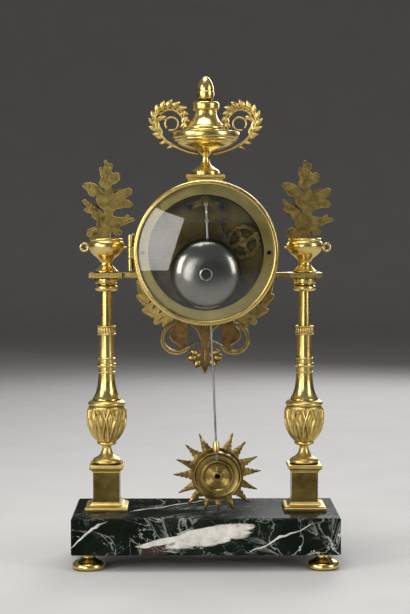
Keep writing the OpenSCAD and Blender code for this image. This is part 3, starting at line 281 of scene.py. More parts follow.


# %% [markdown]
# ## Gilding, brass and steel
# The mounts are fire-gilt bronze. Round, plain parts were rubbed with a stone until they shine; leaves were left
# matte; the backs of the flat castings were never meant to be seen and have gone brown. The movement is bare
# brass and steel, and its screws are blued by heat. Its plates and wheels are painted darker, partly tarnish and
# partly painted shade inside the drum, and the bell is painted darker than its metal, a painted reflection of a
# dark room. One helper makes all of them, from a dark and a light tone, a range of roughness and the colour of
# the dirt and painted shade in the hollows.

# %% Metal finishes
burnished_gilt = metal("burnished_gilt", (0.66, 0.495, 0.155), (0.80, 0.63, 0.245), (0.21, 0.31), 30,
                       (0.24, 0.15, 0.03), 0.02)
matte_gilt = metal("matte_gilt", (0.54, 0.39, 0.11), (0.74, 0.57, 0.22), (0.34, 0.46), 70, (0.15, 0.09, 0.02), 0.1)
dull_gilt = metal("dull_gilt", (0.29, 0.21, 0.066), (0.58, 0.44, 0.155), (0.28, 0.44), 140, (0.10, 0.06, 0.018),
                  0.2, 0.0022)
brown_back = metal("brown_back", (0.10, 0.075, 0.023), (0.32, 0.24, 0.076), (0.40, 0.58), 170,
                   (0.05, 0.03, 0.011), 0.5)
red_back = metal("red_back", (0.075, 0.040, 0.020), (0.21, 0.135, 0.052), (0.36, 0.56), 150,
                 (0.05, 0.026, 0.011), 0.4)
tarnished_die = metal("tarnished_die", (0.075, 0.052, 0.013), (0.22, 0.16, 0.046), (0.2, 0.34), 60, None, 0.05)
sun_brass = metal("sun_brass", (0.20, 0.145, 0.042), (0.36, 0.265, 0.09), (0.24, 0.38), 75,
                  (0.06, 0.036, 0.01), 0.06)
ray_brass = metal("ray_brass", (0.11, 0.072, 0.021), (0.36, 0.26, 0.085), (0.32, 0.48), 150,
                  (0.06, 0.034, 0.01), 0.25)
ring_brass = metal("ring_brass", (0.30, 0.235, 0.074), (0.44, 0.35, 0.122), (0.30, 0.44), 60, None, 0.06)
# Painted shade: the plates are painted far darker than bare brass, partly tarnish and partly the shade inside the
# drum.
plate_brass_with_painted_shade = metal("plate_brass_with_painted_shade", (0.06, 0.044, 0.016), (0.19, 0.145, 0.055), (0.26, 0.42), 38,
                    (0.03, 0.02, 0.007), 0.05)
# Painted shade: the wheels are painted darker than bare brass, standing in for the shade inside the drum.
wheel_brass_with_painted_shade = metal("wheel_brass_with_painted_shade", (0.20, 0.145, 0.048), (0.40, 0.305, 0.115), (0.2, 0.34), 90,
                    (0.05, 0.035, 0.011), 0.05)
grey_steel = metal("grey_steel", (0.20, 0.20, 0.195), (0.36, 0.36, 0.345), (0.26, 0.42), 80, None, 0.05)
dark_steel = metal("dark_steel", (0.045, 0.044, 0.042), (0.13, 0.127, 0.12), (0.24, 0.38), 90, None, 0.05)
# Painted reflection: the bell's colour is painted darker than its metal, standing in for the dark room it mirrors.
bell_metal_with_painted_reflection = metal("bell_metal_with_painted_reflection", (0.18, 0.177, 0.165), (0.24, 0.236, 0.22), (0.19, 0.22), 12, None, 0.0)
blued_steel = metal("blued_steel", (0.02, 0.03, 0.08), (0.045, 0.07, 0.19), (0.18, 0.3), 90, None, 0.04)
print("metal finishes:", len(bpy.data.materials))

# %% [markdown]
# ## Green-black marble
# The slab is a breccia: nearly black green stone, cut by white veins of many widths, with a broad white patch
# slanting across the face towards the picture and a purple-brown cloud beside it. Thin veins are the zero lines
# of a noise, which never end in the stone. The patch is a flat ball of white with a ragged edge, and the longest
# veins are very thin balls of the same kind, laid out in coordinates that another noise has bent.

# %% Marble
def vein(tree, vector, scale, width, twist, turn):
    """White along the zero line of a noise, black elsewhere."""
    wander = noise(tree, stretched(tree, vector, (1.0, 1.0, 1.6), turn), scale, 6.0, 0.6, twist)
    return ramp(tree, wander, [(0.5 - width, 0.0), (0.5, 1.0), (0.5 + width, 0.0)])


def patch(tree, vector, centre, size, turn, rag):
    """White inside a ragged ellipsoid at a place on the slab."""
    move = add(tree, "Mapping", {"Vector": vector, "Location": centre, "Rotation": [radians(a) for a in turn],
                                 "Scale": [2 * half for half in size]}, vector_type="TEXTURE")
    far = add(tree, "VectorMath", {0: move.outputs["Vector"]}, operation="LENGTH")
    streaks = noise(tree, stretched(tree, vector, (0.45, 1.0, 1.25), turn), 80.0, 7.0, 0.66, 0.6)
    ragged = add(tree, "Math", {0: streaks, 1: rag, 2: far.outputs["Value"]}, operation="MULTIPLY_ADD")
    return ramp(tree, ragged.outputs[0], [(0.44 + rag / 2, 1.0), (0.52 + rag / 2, 0.0)])


def bent(tree, vector, scale, reach):
    """Coordinates that wander, so that a straight streak turns into a vein."""
    drift = add(tree, "TexNoise", {"Vector": vector, "Scale": scale})
    centred = add(tree, "VectorMath", {0: drift.outputs["Color"], 1: (0.5, 0.5, 0.5)}, operation="SUBTRACT")
    return add(tree, "VectorMath", {0: centred.outputs["Vector"], 1: (reach, reach, reach), 2: vector},
               operation="MULTIPLY_ADD").outputs["Vector"]


marble, tree, shader = new_finish("marble")
where = spots(tree)
ground = ramp(tree, noise(tree, where, 26.0, 7.0, 0.62, 0.7),
              [(0.30, (0.004, 0.006, 0.0045)), (0.55, (0.009, 0.013, 0.0095)), (0.72, (0.024, 0.033, 0.024)),
               (0.88, (0.07, 0.088, 0.065))])
purple = patch(tree, where, (0.036, 0.048, 0.020), (0.022, 0.016, 0.007), (0, 12, 0), 0.9)
stone = mixed(tree, purple, ground, (0.048, 0.027, 0.023))
thin_veins = ((8.0, 0.011, 1.0, (0, 32, 20), 1.0), (14.0, 0.010, 1.3, (10, -38, 70), 0.95),
              (34.0, 0.008, 0.9, (30, 20, 0), 0.3))
for scale, width, twist, turn, white in thin_veins:
    lines = vein(tree, where, scale, width, twist, turn)
    fade = ramp(tree, noise(tree, where, scale * 0.8, 2.0), [(0.42, 0.0), (0.62, white)])
    both = mixed(tree, 1.0, lines, fade, "MULTIPLY")
    stone = mixed(tree, both, stone, (0.70, 0.73, 0.66))
cloud = ramp(tree, noise(tree, where, 130.0, 6.0, 0.6),
             [(0.3, (0.34, 0.33, 0.28)), (0.46, (0.62, 0.60, 0.54)), (0.7, (0.80, 0.78, 0.72))])
wandering = bent(tree, where, 45.0, 0.016)
white_forms = (((-0.003, 0.050, 0.0295), (0.038, 0.022, 0.0078), (0, 11, 0), 0.8, where),
               ((0.037, 0.050, 0.0250), (0.022, 0.020, 0.0026), (0, 12, 0), 0.9, where),
               ((-0.064, 0.050, 0.0300), (0.032, 0.020, 0.0008), (0, 22, 0), 0.6, wandering),
               ((0.098, 0.050, 0.0310), (0.020, 0.020, 0.0010), (0, 38, 0), 0.6, wandering),
               ((0.030, -0.012, 0.0440), (0.048, 0.0016, 0.0060), (0, 0, 41), 0.6, wandering))
for place, size, turn, rag, vector in white_forms:
    stone = mixed(tree, patch(tree, vector, place, size, turn, rag), stone, cloud)
polish = ramp(tree, noise(tree, where, 200.0), [(0.3, 0.16), (0.8, 0.28)])
wire(tree, shader, {"Base Color": stone, "Roughness": polish, "Specular IOR Level": 0.015})
relief(tree, shader, noise(tree, where, 60.0, 5.0), 0.04, 0.0006)
print("marble nodes:", len(tree.nodes))

# %% [markdown]
# ## Glass, enamel and silk
# The domed glass lets light through, so that the movement inside is lit: its shadow rays are made clear, which
# stands in for the light that real thin glass bends only a little. The enamel is a warm white under a clear
# glaze, and the silk is a pale twisted thread with a rough, uneven colour.

# %% Glass, enamel and silk
def glaze(tree, shader, tone, dark, light, gloss):
    """Colour and roughness that both follow one noise."""
    wire(tree, shader, {"Base Color": ramp(tree, tone, [(0.3, dark), (0.7, light)]),
                        "Roughness": ramp(tree, tone, [(0.3, gloss[0]), (0.7, gloss[1])])})


clear_glass, tree, shader = new_finish("clear_glass")
smear = ramp(tree, noise(tree, spots(tree), 40.0, 2.0), [(0.3, 0.0), (0.9, 0.02)])
wire(tree, shader, {"Transmission Weight": 1.0, "IOR": 1.5, "Base Color": (0.97, 0.985, 0.975, 1),
                    "Roughness": smear})
clear = add(tree, "BsdfTransparent", {"Color": (0.93, 0.95, 0.94, 1)})
ray_kind = add(tree, "LightPath", {})
blend = add(tree, "MixShader", {"Fac": ray_kind.outputs["Is Shadow Ray"], 1: shader.outputs["BSDF"],
                                2: clear.outputs["BSDF"]})
wire(tree, tree.nodes["Material Output"], {"Surface": blend.outputs["Shader"]})

enamel, tree, shader = new_finish("enamel")
glaze(tree, shader, noise(tree, spots(tree), 35.0, 4.0), (0.74, 0.72, 0.65), (0.80, 0.79, 0.73), (0.12, 0.2))
wire(tree, shader, {"Coat Weight": 0.4})
black_enamel, tree, shader = new_finish("black_enamel")
glaze(tree, shader, noise(tree, spots(tree), 90.0), (0.012, 0.012, 0.016), (0.03, 0.03, 0.036), (0.15, 0.25))

silk, tree, shader = new_finish("silk")
twist = noise(tree, stretched(tree, spots(tree), (1, 1, 0.3)), 1400.0, 2.0)
glaze(tree, shader, twist, (0.48, 0.43, 0.32), (0.78, 0.73, 0.60), (0.7, 0.9))
relief(tree, shader, twist, 0.3, 0.0003)
print("all finishes:", len(bpy.data.materials))

# %% [markdown]
# ## Every CAD node gets its finish
# Most nodes are covered by a richer piece further down. Those that stay, such as the plates, wheels and
# screws, take their finish here, and so do the covered ones, so that none is ever left bare.

# %% Finishes for the CAD nodes
dress = {
    marble: ["marble_plinth"],
    burnished_gilt: ["feet", "column_shaft_left", "column_shaft_right", "column_capitals", "vase_left", "vase_right",
                     "drum_shell", "rear_bezel", "front_bezel", "urn_bowl", "urn_lid", "urn_finial"],
    matte_gilt: ["pedestal_bases", "pedestal_caps", "lotus_cups", "column_collars", "crest_plinth",
                 "laurel_handle_left", "laurel_handle_right"],
    dull_gilt: ["struts"],
    ring_brass: ["rear_ring"],
    brown_back: ["flower_spray_left", "flower_spray_right"],
    red_back: ["apron"],
    tarnished_die: ["pedestal_dies"],
    sun_brass: ["pendulum_bob"],
    ray_brass: ["sun_plate"],
    plate_brass_with_painted_shade: ["dial_plate", "front_plate", "back_plate", "plate_pillars", "bell_stand"],
    wheel_brass_with_painted_shade: ["back_cock", "going_barrel", "strike_barrel", "intermediate_wheel", "centre_wheel", "cannon_pinion",
                  "minute_wheel", "hour_wheel", "third_wheel", "escape_wheel", "count_arbor", "count_wheel",
                  "pin_wheel", "fly"],
    grey_steel: ["tie_rods", "hinge_pins", "pendulum_rod"],
    dark_steel: ["pallet_anchor", "hammer"],
    bell_metal_with_painted_reflection: ["bell"],
    blued_steel: ["movement_screws", "minute_hand", "hour_hand"],
    clear_glass: ["rear_glass", "front_glass"],
    enamel: ["dial"],
    silk: ["silk_loop"],
}
for finish, names in dress.items():
    for name in names:
        slots = frame["nodes"][name].data.materials
        slots.clear()
        slots.append(finish)
print("nodes dressed:", sum(len(names) for names in dress.values()), "of", len(frame["nodes"]))

# %% [markdown]
# ## Feet and stepped mouldings
# The four feet are turned buns with a narrow neck. The square steps under and over each die are one profile
# carried round four mitred corners: a ring of four corners for every profile point gives exactly that, with
# soft curves along the profile and a crisp edge at each mitre.

# %% Feet, bases and caps
def box_mm(node):
    low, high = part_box(node)
    return low / MM, high / MM


def moulding(bm, profile, x, z):
    """A mitred square moulding from (half width, height) points, capped top and bottom."""
    rings = [[bm.verts.new((x + sx * w, sy * w, z + h)) for sx, sy in ((1, 1), (-1, 1), (-1, -1), (1, -1))]
             for w, h in profile]
    closed_skin(bm, rings)


FOOT_R = 13.8
COLUMN_X = 84.5
low, high = box_mm("feet")
bun = flow([(0, 0, 1), (12.3, 0, 1), (13.5, 0.9), (13.8, 2.8), (13.2, 4.8), (11.4, 6.4), (8.6, 7.6), (6.6, 9.2),
            (5.9, 11.0), (6.2, 11.5, 1), (7.2, 11.9), (7.2, 13.5, 1), (0, 13.5, 1)])
bm = bmesh.new()
for x in (low.x + FOOT_R, high.x - FOOT_R):
    for y in (low.y + FOOT_R, high.y - FOOT_R):
        lathe(bm, bun, 64, shift(x, y, 0))
piece("turned_feet", bm, burnished_gilt, "case", ["feet"])

base_profile = flow([(18, 0, 1), (18, 2.5), (17.6, 2.9, 1), (17.1, 3.1, 1), (17.1, 3.8, 1), (16.2, 4.1),
                     (14.6, 4.6), (13.2, 5.6), (12.6, 6.5, 1), (12.1, 6.8, 1), (12.1, 7.6, 1)])
cap_profile = flow([(11.7, 0, 1), (11.7, 0.8, 1), (12.2, 1.2, 1), (12.5, 2.1), (13.4, 2.8), (13.9, 3.2, 1),
                    (14.3, 3.4), (14.3, 5.9), (13.8, 6.4, 1)])
bm, caps = bmesh.new(), bmesh.new()
for side in (-1, 1):
    moulding(bm, base_profile, side * COLUMN_X, box_mm("pedestal_bases")[0].z)
    moulding(caps, cap_profile, side * COLUMN_X, box_mm("pedestal_caps")[0].z)
piece("stepped_bases", bm, matte_gilt, "case", ["pedestal_bases"])
piece("square_caps", caps, matte_gilt, "case", ["pedestal_caps"])

# %% [markdown]
# ## Lotus cups
# Each column grows out of a cup of long pointed leaves. Every leaf is so broad at its foot that it reaches under
# its neighbours, and the raised edges cross in a lattice of diamonds. A fine grid is spun round the cup's
# profile and pushed out by a relief: a bed inside the leaves, a ridge with a chased groove beside it along both
# edges of each leaf, and fine ribs that run up inside.

# %% Lotus cups
CUP_LEAVES, LEAF_STEPS = 12, 32
LEAF_FOOT, LEAF_TIP = 19.3, 48.4
cup_low = box_mm("lotus_cups")[0].z
spool = flow([(11.4, 0, 1), (12.2, 1.0), (12.3, 2.6), (11.3, 4.2), (9.4, 5.5, 1), (8.6, 5.8), (6.0, 8.0),
              (4.5, 11.0), (3.9, 13.6), (4.3, 15.2), (5.6, 16.2, 1), (7.4, 16.4), (8.2, 17.2), (8.2, 18.4),
              (7.6, 19.3, 1)])
wall = flow([(7.6, 19.3), (10.3, 22.2), (13.0, 27.0), (14.9, 32.5), (15.8, 38.0), (15.9, 41.0), (15.6, 46.0),
             (15.3, 49.4)], 13)
band = flow([(15.3, 49.4, 1), (14.6, 49.7, 1), (14.6, 50.2, 1), (15.5, 50.5), (15.9, 51.6), (15.6, 52.8),
             (14.8, 53.6, 1), (13.4, 54.6, 1)])


def cup_relief(turn, z, r):
    """Height of the chasing at a turn counted in leaves and a height on the cup."""
    t = (z - LEAF_FOOT) / (LEAF_TIP - LEAF_FOOT)
    if t >= 1:
        return 0.0
    half = 0.98 * (1 - t) ** 0.62
    arc = 2 * pi * r / CUP_LEAVES
    left, right = (turn - half) % 1.0, (turn + half) % 1.0
    edge = min(left, 1 - left, right, 1 - right) * arc
    off = min(turn % 1.0, 1 - turn % 1.0)
    bed = 0.4 * min(1.0, max(0.0, (half - off) * arc / 0.3)) if half < 0.5 else 0.4
    ridge = exp(-((edge / 0.8) ** 2)) - 0.7 * exp(-(((edge - 1.7) / 0.6) ** 2))
    ribs = 0.06 * cos(2 * pi * turn * 5) * min(1.0, edge / 2) * min(1.0, bed / 0.4)
    return bed + ridge * min(1.0, (1 - t) * 14) * min(1.0, 0.35 + 2.2 * t) + ribs


bm = bmesh.new()
for side in (-1, 1):
    rings = []
    for part in (spool, wall, band):
        for r, z in part:
            leaf = [r + (cup_relief(k / LEAF_STEPS + 0.5, z, r) if part is wall else 0.0)
                    for k in range(LEAF_STEPS)]
            rings.append([bm.verts.new((side * COLUMN_X + grow * c, grow * s, cup_low + z))
                          for grow, (c, s) in zip(leaf * CUP_LEAVES, circle(CUP_LEAVES * LEAF_STEPS))])
    closed_skin(bm, rings)
piece("lotus_leaf_cups", bm, matte_gilt, "case", ["lotus_cups"], 50)

# %% [markdown]
# ## Shafts, collars and capitals
# The slender shafts flare out of the cups like trumpets and carry a bead, a fillet and another bead. They were
# turned and rubbed bright, so the profile has to be smooth to mirror the lamps in one long streak. The chased
# collar is a ring of small upright lobes between two beads.

# %% Shafts, collars and capitals
shaft = flow([(10.8, 0, 1), (11.9, 0.4), (11.9, 1.2, 1), (10.5, 3.6), (9.0, 7.4), (7.9, 12.0), (7.3, 17.0),
              (7.0, 22.6, 1), (7.0, 23.5, 1), (7.6, 24.2), (7.0, 24.9, 1), (7.0, 28.4, 1), (7.7, 28.7),
              (7.7, 31.6), (7.0, 31.9, 1), (7.0, 35.2, 1), (7.6, 35.9), (7.0, 36.6, 1), (6.7, 44.0),
              (6.5, 55.8, 1), (5.9, 56.2, 1), (5.9, 63.2, 1), (5.4, 63.6, 1), (5.1, 78.0), (4.7, 93.1, 1)])
for hand, side in (("left", -1), ("right", 1)):
    node = "column_shaft_" + hand
    turned("turned_shaft_" + hand, shaft, 96, shift(side * COLUMN_X, 0, box_mm(node)[0].z), burnished_gilt, "case",
           [node])

collar = flow([(5.8, 0, 1), (7.6, 0), (8.1, 0.6), (7.6, 1.3, 1), (7.2, 1.5, 1), (7.5, 2.8), (7.5, 5.2),
               (7.2, 6.3, 1), (7.6, 6.5, 1), (8.1, 7.2), (7.6, 7.8), (5.8, 7.8, 1)])
capital = flow([(5.2, 0, 1), (5.4, 0.3, 1), (8.2, 0.5), (9.5, 1.7), (9.8, 2.9), (9.4, 4.2), (8.2, 5.1, 1),
                (7.6, 5.4, 1), (7.6, 6.3, 1), (9.0, 6.6), (9.8, 7.4, 1), (9.8, 10.9), (9.4, 11.6, 1),
                (0, 11.6, 1)])
COLLAR_LOBES, COLLAR_STEPS = 18, 216
LOBE_DEEP, LOBE_LOW, LOBE_HIGH = 0.55, 1.45, 6.35
collar_low, capital_low = box_mm("column_collars")[0].z, box_mm("column_capitals")[0].z
bm, tops = bmesh.new(), bmesh.new()
for side in (-1, 1):
    rings = []
    for r, z in collar:
        lobed = LOBE_DEEP if LOBE_LOW < z < LOBE_HIGH else 0.0
        ring = []
        for i in range(COLLAR_STEPS):
            a = 2 * pi * i / COLLAR_STEPS
            grow = r + lobed * abs(cos(COLLAR_LOBES / 2 * a)) ** 0.6 - lobed * 0.5
            ring.append(bm.verts.new((side * COLUMN_X + grow * cos(a), grow * sin(a), collar_low + z)))
        rings.append(ring)
    skin(bm, rings + rings[:1])
    lathe(tops, capital, 80, shift(side * COLUMN_X, 0, capital_low))
piece("chased_collars", bm, matte_gilt, "case", ["column_collars"])
piece("turned_capitals", tops, burnished_gilt, "case", ["column_capitals"])

# %% [markdown]
# ## Vases
# A small burnished vase stands on each strut. Its round bowl draws in under the rim and has a short stud on both
# sides; a ring hangs on the outer one. All of it is lathe work, but studs and ring turn about other axes.

# %% Vases
vase = flow([(0, 0, 1), (9.8, 0, 1), (10.3, 0.5), (10.2, 1.3, 1), (9.4, 1.8, 1), (7.6, 3.6), (5.9, 5.8),
             (5.3, 7.8), (5.6, 9.6), (7.4, 12.2), (11.5, 15.6), (14.3, 19.2), (15.3, 22.2), (15.1, 24.4),
             (14.3, 26.0), (13.6, 26.7, 1), (13.8, 27.3), (14.1, 28.0), (13.9, 28.8), (13.4, 29.1, 1),
             (12.4, 29.1, 1), (11.6, 27.6, 1), (0, 27.6, 1)])
stud = flow([(0, 0, 1), (1.5, 0, 1), (1.3, 1.2), (0.8, 2.2), (0.8, 3.4, 1), (0, 3.4, 1)])


def ring_profile(r, w, count=14):
    """A round wire of radius w, closed to a ring of radius r."""
    return [(r + w * cos(2 * pi * k / count), w * sin(2 * pi * k / count)) for k in range(count + 1)]


STUD_OUT, RING_OUT, RING_UP = 14.0, 18.6, 21.4
for name, side in (("vase_left", -1), ("vase_right", 1)):
    bm = bmesh.new()
    foot_z = box_mm(name)[0].z
    lathe(bm, vase, 96, shift(side * COLUMN_X, 0, foot_z))
    lathe(bm, ring_profile(3.2, 0.85), 40, shift(side * (COLUMN_X + RING_OUT), 0, foot_z + RING_UP) @ ALONG_Y)
    for way in (-1, 1):
        sideways = Matrix.Rotation(way * pi / 2, 4, "Y")
        lathe(bm, stud, 20, shift(side * COLUMN_X + way * STUD_OUT, 0, foot_z + RING_UP) @ sideways)
    piece("burnished_" + name, bm, burnished_gilt, "case", [name])

# %% [markdown]
# ## Urn crest
# Bowl, lid and bud are three turned pieces on one rod. The bowl has a plain upright rim over a rounded step; the
# lid is a concave spire under a plain drum, and the bud a smooth acorn in a shallow cup. Thin grooves between the
# steps catch dark lines, so the corners of the profile are kept sharp and only the swelling parts are rounded.

# %% Urn
bowl = flow([(0, 0, 1), (12.3, 0, 1), (12.3, 1.6, 1), (11.9, 1.9, 1), (11.7, 3.1), (10.6, 4.5), (8.8, 5.4, 1),
             (8.2, 5.9), (5.6, 7.7), (4.0, 10.0), (3.3, 13.2), (3.6, 16.2), (4.7, 18.4), (7.0, 20.0, 1),
             (8.0, 20.3), (13.8, 21.9), (20.2, 24.2), (23.4, 26.3), (24.6, 28.0, 1), (24.9, 28.5, 1),
             (26.2, 28.9), (27.1, 29.9), (27.2, 30.8, 1), (27.6, 31.2, 1), (28.4, 31.6, 1), (28.6, 32.2),
             (28.6, 35.6), (28.2, 36.5, 1), (27.0, 36.8, 1), (0, 36.8, 1)])
lid = flow([(0, 0, 1), (20.0, 0, 1), (20.0, 0.9, 1), (18.8, 1.3), (17.6, 1.7, 1), (17.3, 2.4), (17.1, 3.4, 1),
            (16.4, 3.7, 1), (15.8, 4.1), (15.3, 5.1, 1), (14.8, 5.4, 1), (13.6, 7.0), (11.8, 9.2), (10.3, 11.8),
            (9.5, 14.4), (9.1, 17.2, 1), (10.2, 17.7, 1), (11.2, 18.6), (11.4, 19.4, 1), (11.4, 23.2),
            (10.7, 24.6), (9.4, 25.0, 1), (0, 25.0, 1)])
bud = flow([(0, 0, 1), (4.4, 0, 1), (5.2, 1.0), (6.7, 2.5), (7.2, 4.8), (7.3, 7.2), (7.15, 8.5, 1),
            (6.75, 8.9, 1), (6.85, 10.4), (6.5, 13.2), (5.3, 16.6), (3.7, 19.2), (1.9, 21.0), (0, 21.6, 1)])
for name, profile in (("urn_bowl", bowl), ("urn_lid", lid), ("urn_finial", bud)):
    turned("turned_" + name, profile, 112, shift(0, 0, box_mm(name)[0].z), burnished_gilt, "case", [name])

# %% [markdown]
# ## Bezels and bell
# Each door is a turned brass frame. The one at the back is a thin rim, so that the glass shows the flat ring
# inside the drum; the one round the dial is broad, with a bright edge, a groove and a rounded slope. The bell
# is a shallow cup of white metal, held by a washer and a round nut. All of them have a hole through the middle,
# so their profile is a closed loop.

# %% Bezels and bell
joint_at = {joint["name"]: Vector(joint["pos_m"]) / MM for joint in frame["joints"]}
DRUM_Z = joint_at["hands_turn"].z


def block(bm, low, high):
    """A filed block between two corners, with its edges broken."""
    middle, size = (Vector(low) + Vector(high)) / 2, Vector(high) - Vector(low)
    new = bmesh.ops.create_cube(bm, size=1.0, matrix=shift(*middle) @ Matrix.Diagonal((*size, 1)))
    edges = {edge for vert in new["verts"] for edge in vert.link_edges}
    bmesh.ops.bevel(bm, geom=list(edges), offset=0.12 * min(size), segments=2, affect="EDGES")


thin_rim = flow([(58.0, 2.7, 1), (58.0, 0.3, 1), (60, 0.3, 1), (60, 2.2), (59.7, 3.3), (59.1, 4.0),
                 (58.4, 4.2, 1), (58.2, 3.95, 1), (57.9, 4.25, 1), (57.2, 4.3), (56.7, 4.1), (56.4, 3.7, 1),
                 (56.4, 2.7, 1), (58.0, 2.7, 1)], 4)
wide_rim = flow([(55, 2.7, 1), (55, 0.3, 1), (60, 0.3, 1), (60, 1.6), (59.5, 2.7), (58.4, 3.2, 1),
                 (58.0, 3.3, 1), (57.9, 4.2, 1), (57.4, 5.0), (56.2, 6.1), (55.0, 6.8), (54.0, 6.9),
                 (53.3, 6.6), (53.0, 5.8, 1), (53.0, 2.7, 1), (55, 2.7, 1)], 4)
knuckle = [(0.95, -4.6), (1.8, -4.6), (2.0, -4.4), (2.0, 4.4), (1.8, 4.6), (0.95, 4.6), (0.95, -4.6)]
PIN_OUT = 0.15  # from the drum's end to the middle of a hinge pin
for end, way, rim in (("rear", 1, thin_rim), ("front", -1, wide_rim)):
    bm = bmesh.new()
    pin = joint_at[end + "_door_swing"]
    drum_face = pin.y - way * PIN_OUT
    lathe(bm, rim, 144, shift(0, drum_face, DRUM_Z) @ Matrix.Scale(way, 4, (0, 1, 0)) @ ALONG_Y)
    lathe(bm, knuckle, 24, shift(*pin))
    strap = sorted((drum_face + way * 1.5, drum_face + way * 3.2))
    block(bm, (58.6, strap[0], DRUM_Z - 4.5), (61.6, strap[1], DRUM_Z + 4.5))
    piece(f"moulded_{end}_bezel", bm, burnished_gilt, end + "_door", [end + "_bezel"])

bell_loop = flow([(29.5, 0, 1), (29.3, 1.5), (28.8, 3.4), (27.5, 5.8), (25.0, 8.2), (21.3, 10.3), (16.4, 11.9),
                  (11.0, 12.8), (5.0, 13.2, 1), (1.6, 13.2, 1), (1.6, 11.6, 1), (5.0, 11.6), (11.5, 11.2),
                  (18.2, 9.7), (23.2, 7.3), (26.0, 4.8), (27.4, 2.2), (27.8, 0, 1), (29.5, 0, 1)])
washer = [(3.9, 13.1), (5.6, 13.1), (5.6, 13.6), (5.2, 13.95), (4.3, 14.1), (3.9, 13.9), (3.9, 13.1)]
nut = [(1.7, 13.3), (3.95, 13.3), (3.95, 14.4), (3.5, 14.85), (2.2, 14.9), (1.8, 14.5), (1.7, 13.3)]
bell_low, bell_high = box_mm("bell")
at_bell = shift(0, bell_low.y, (bell_low.z + bell_high.z) / 2) @ ALONG_Y
turned("cast_bell", bell_loop, 128, at_bell, bell_metal_with_painted_reflection, "case", ["bell"])
turned("bell_washer", washer, 128, at_bell, grey_steel, "case")
turned("bell_nut", nut, 128, at_bell, wheel_brass_with_painted_shade, "case")

# %% [markdown]
# ## Sunburst pendulum
# The bob is a drum of brass, filled with lead, with a dished back and a turned boss. It is screwed to a plate of
# fifteen flame rays; the place of the sixteenth, at the top, is left free for the rod and its lug, and the lowest
# rays are cut short over the marble. A ray is a row of stations along its length, with barbs like a flame and a
# raised middle line, so that its two slopes take different light. On the dial side the sun is gilt, with a smooth
# domed boss. The pendulum hangs from silk and leans a little.

# %% Bob and sunburst
PENDULUM, REST_LEAN = 229.0, 2.4
BOB_DEEP = 9.0
hang = shift(0, 0, joint_at["pendulum_swing"].z) @ Matrix.Rotation(radians(REST_LEAN), 4, "Y")
lean = hang @ shift(0, 0, -PENDULUM)
turned_back = flow([(20, 31.2), (19.7, 32.3), (19.3, 32.7), (18.8, 32.5, 1), (18.3, 31.6, 1), (17.4, 30.9),
                    (15.6, 30.5), (14.2, 30.3, 1), (13.2, 30.5, 1), (13.1, 33.0), (12.7, 33.8), (12.2, 33.8),
                    (11.7, 33.0, 1)], 5)
for r in (10.6, 9.3, 8.0, 6.7, 5.4):
    rise = 0.06 * (10.6 - r)
    turned_back += [(r, 32.2 + rise), (r - 0.5, 32.6 + rise), (r - 0.8, 32.6 + rise)]
turned_back += flow([(4.2, 32.6, 1), (3.4, 32.9), (2.9, 33.6), (2.3, 33.6, 1), (1.9, 33.0, 1)], 3)
bob_loop = [(1.9, 29), (20, 29), (20, 30.2)] + [(r, y + BOB_DEEP) for r, y in turned_back] + [(1.9, 29)]
turned("dished_bob", bob_loop, 112, lean @ ALONG_Y, sun_brass, "pendulum", ["pendulum_bob"])

lug = flow([(0, 18.6, 1), (2.9, 18.6, 1), (3.0, 20.4), (2.9, 23.2), (2.5, 25.8), (1.9, 27.4), (1.2, 28.2, 1),
            (0, 28.3, 1)])
turned("rod_lug", lug, 40, lean @ shift(0, 31, 0), burnished_gilt, "pendulum")
bm = bmesh.new()
block(bm, (-1.2, 38.6, 12.2), (1.2, 40.4, 20.6))
bmesh.ops.transform(bm, matrix=lean, verts=bm.verts)
piece("rating_slide", bm, grey_steel, "pendulum")

RAYS, RAY_TIP, LOW_RAY = 16, 36.9, 32.7
ray = [(19.0, 4.4), (22.6, 4.1), (24.2, 3.4), (24.6, 2.5), (25.0, 3.3), (26.6, 2.9), (28.0, 2.2), (28.3, 1.6),
       (28.7, 2.3), (30.4, 1.8), (31.8, 1.3), (32.1, 0.8), (32.5, 1.3), (34.6, 0.9), (36.9, 0.35)]


def ray_reach(turn):
    """Length of a ray at a turn from the top; the lowest ones end over the marble, however the pendulum swings."""
    return min(RAY_TIP, LOW_RAY / cos(radians(max(0, min(60, abs(180 - turn) - 7)))))


bm = bmesh.new()
lathe(bm, flow([(0, 27.2, 1), (22.2, 27.2, 1), (22.2, 28.3), (21.6, 28.9, 1), (0, 28.9, 1)]), 96, lean @ ALONG_Y)
for i in range(1, RAYS):
    spin = 360 / RAYS * i + 1.6 * sin(2.7 * i)
    turn = lean @ Matrix.Rotation(radians(-spin), 4, "Y")
    length = (1.0 - 0.012 * (1 + sin(4.1 * i))) * ray_reach(spin) / RAY_TIP
    rings = []
    for k, (r, w) in enumerate(ray):
        left = w * (1 + 0.16 * sin(5.3 * i + 2.1 * k))
        right = w * (1 + 0.16 * sin(3.1 * i + 1.7 * k))
        crest = 28.95 - 0.25 * (k % 3 == 0)
        section = ((-left, 27.6), (-left, 28.0), (-left * 0.35, 28.6), (0, crest), (right * 0.35, 28.6),
                   (right, 28.0), (right, 27.6), (0, 27.2 + 0.3 * (k == 0)))
        rings.append([bm.verts.new(turn @ Vector((x, y, r * length))) for x, y in section])
    closed_skin(bm, rings)
piece("flame_sunburst", bm, ray_brass, "pendulum", ["sun_plate"], 40, matte_gilt)
dial_boss = flow([(0, 27.5, 1), (19.4, 27.5, 1), (19.6, 26.7), (19.0, 26.1), (18.2, 26.2, 1), (17.6, 26.7, 1),
                  (15.6, 26.3), (11.0, 25.1), (5.6, 24.3), (0, 24.1, 1)])
turned("sun_boss", dial_boss, 96, lean @ ALONG_Y, burnished_gilt, "pendulum")

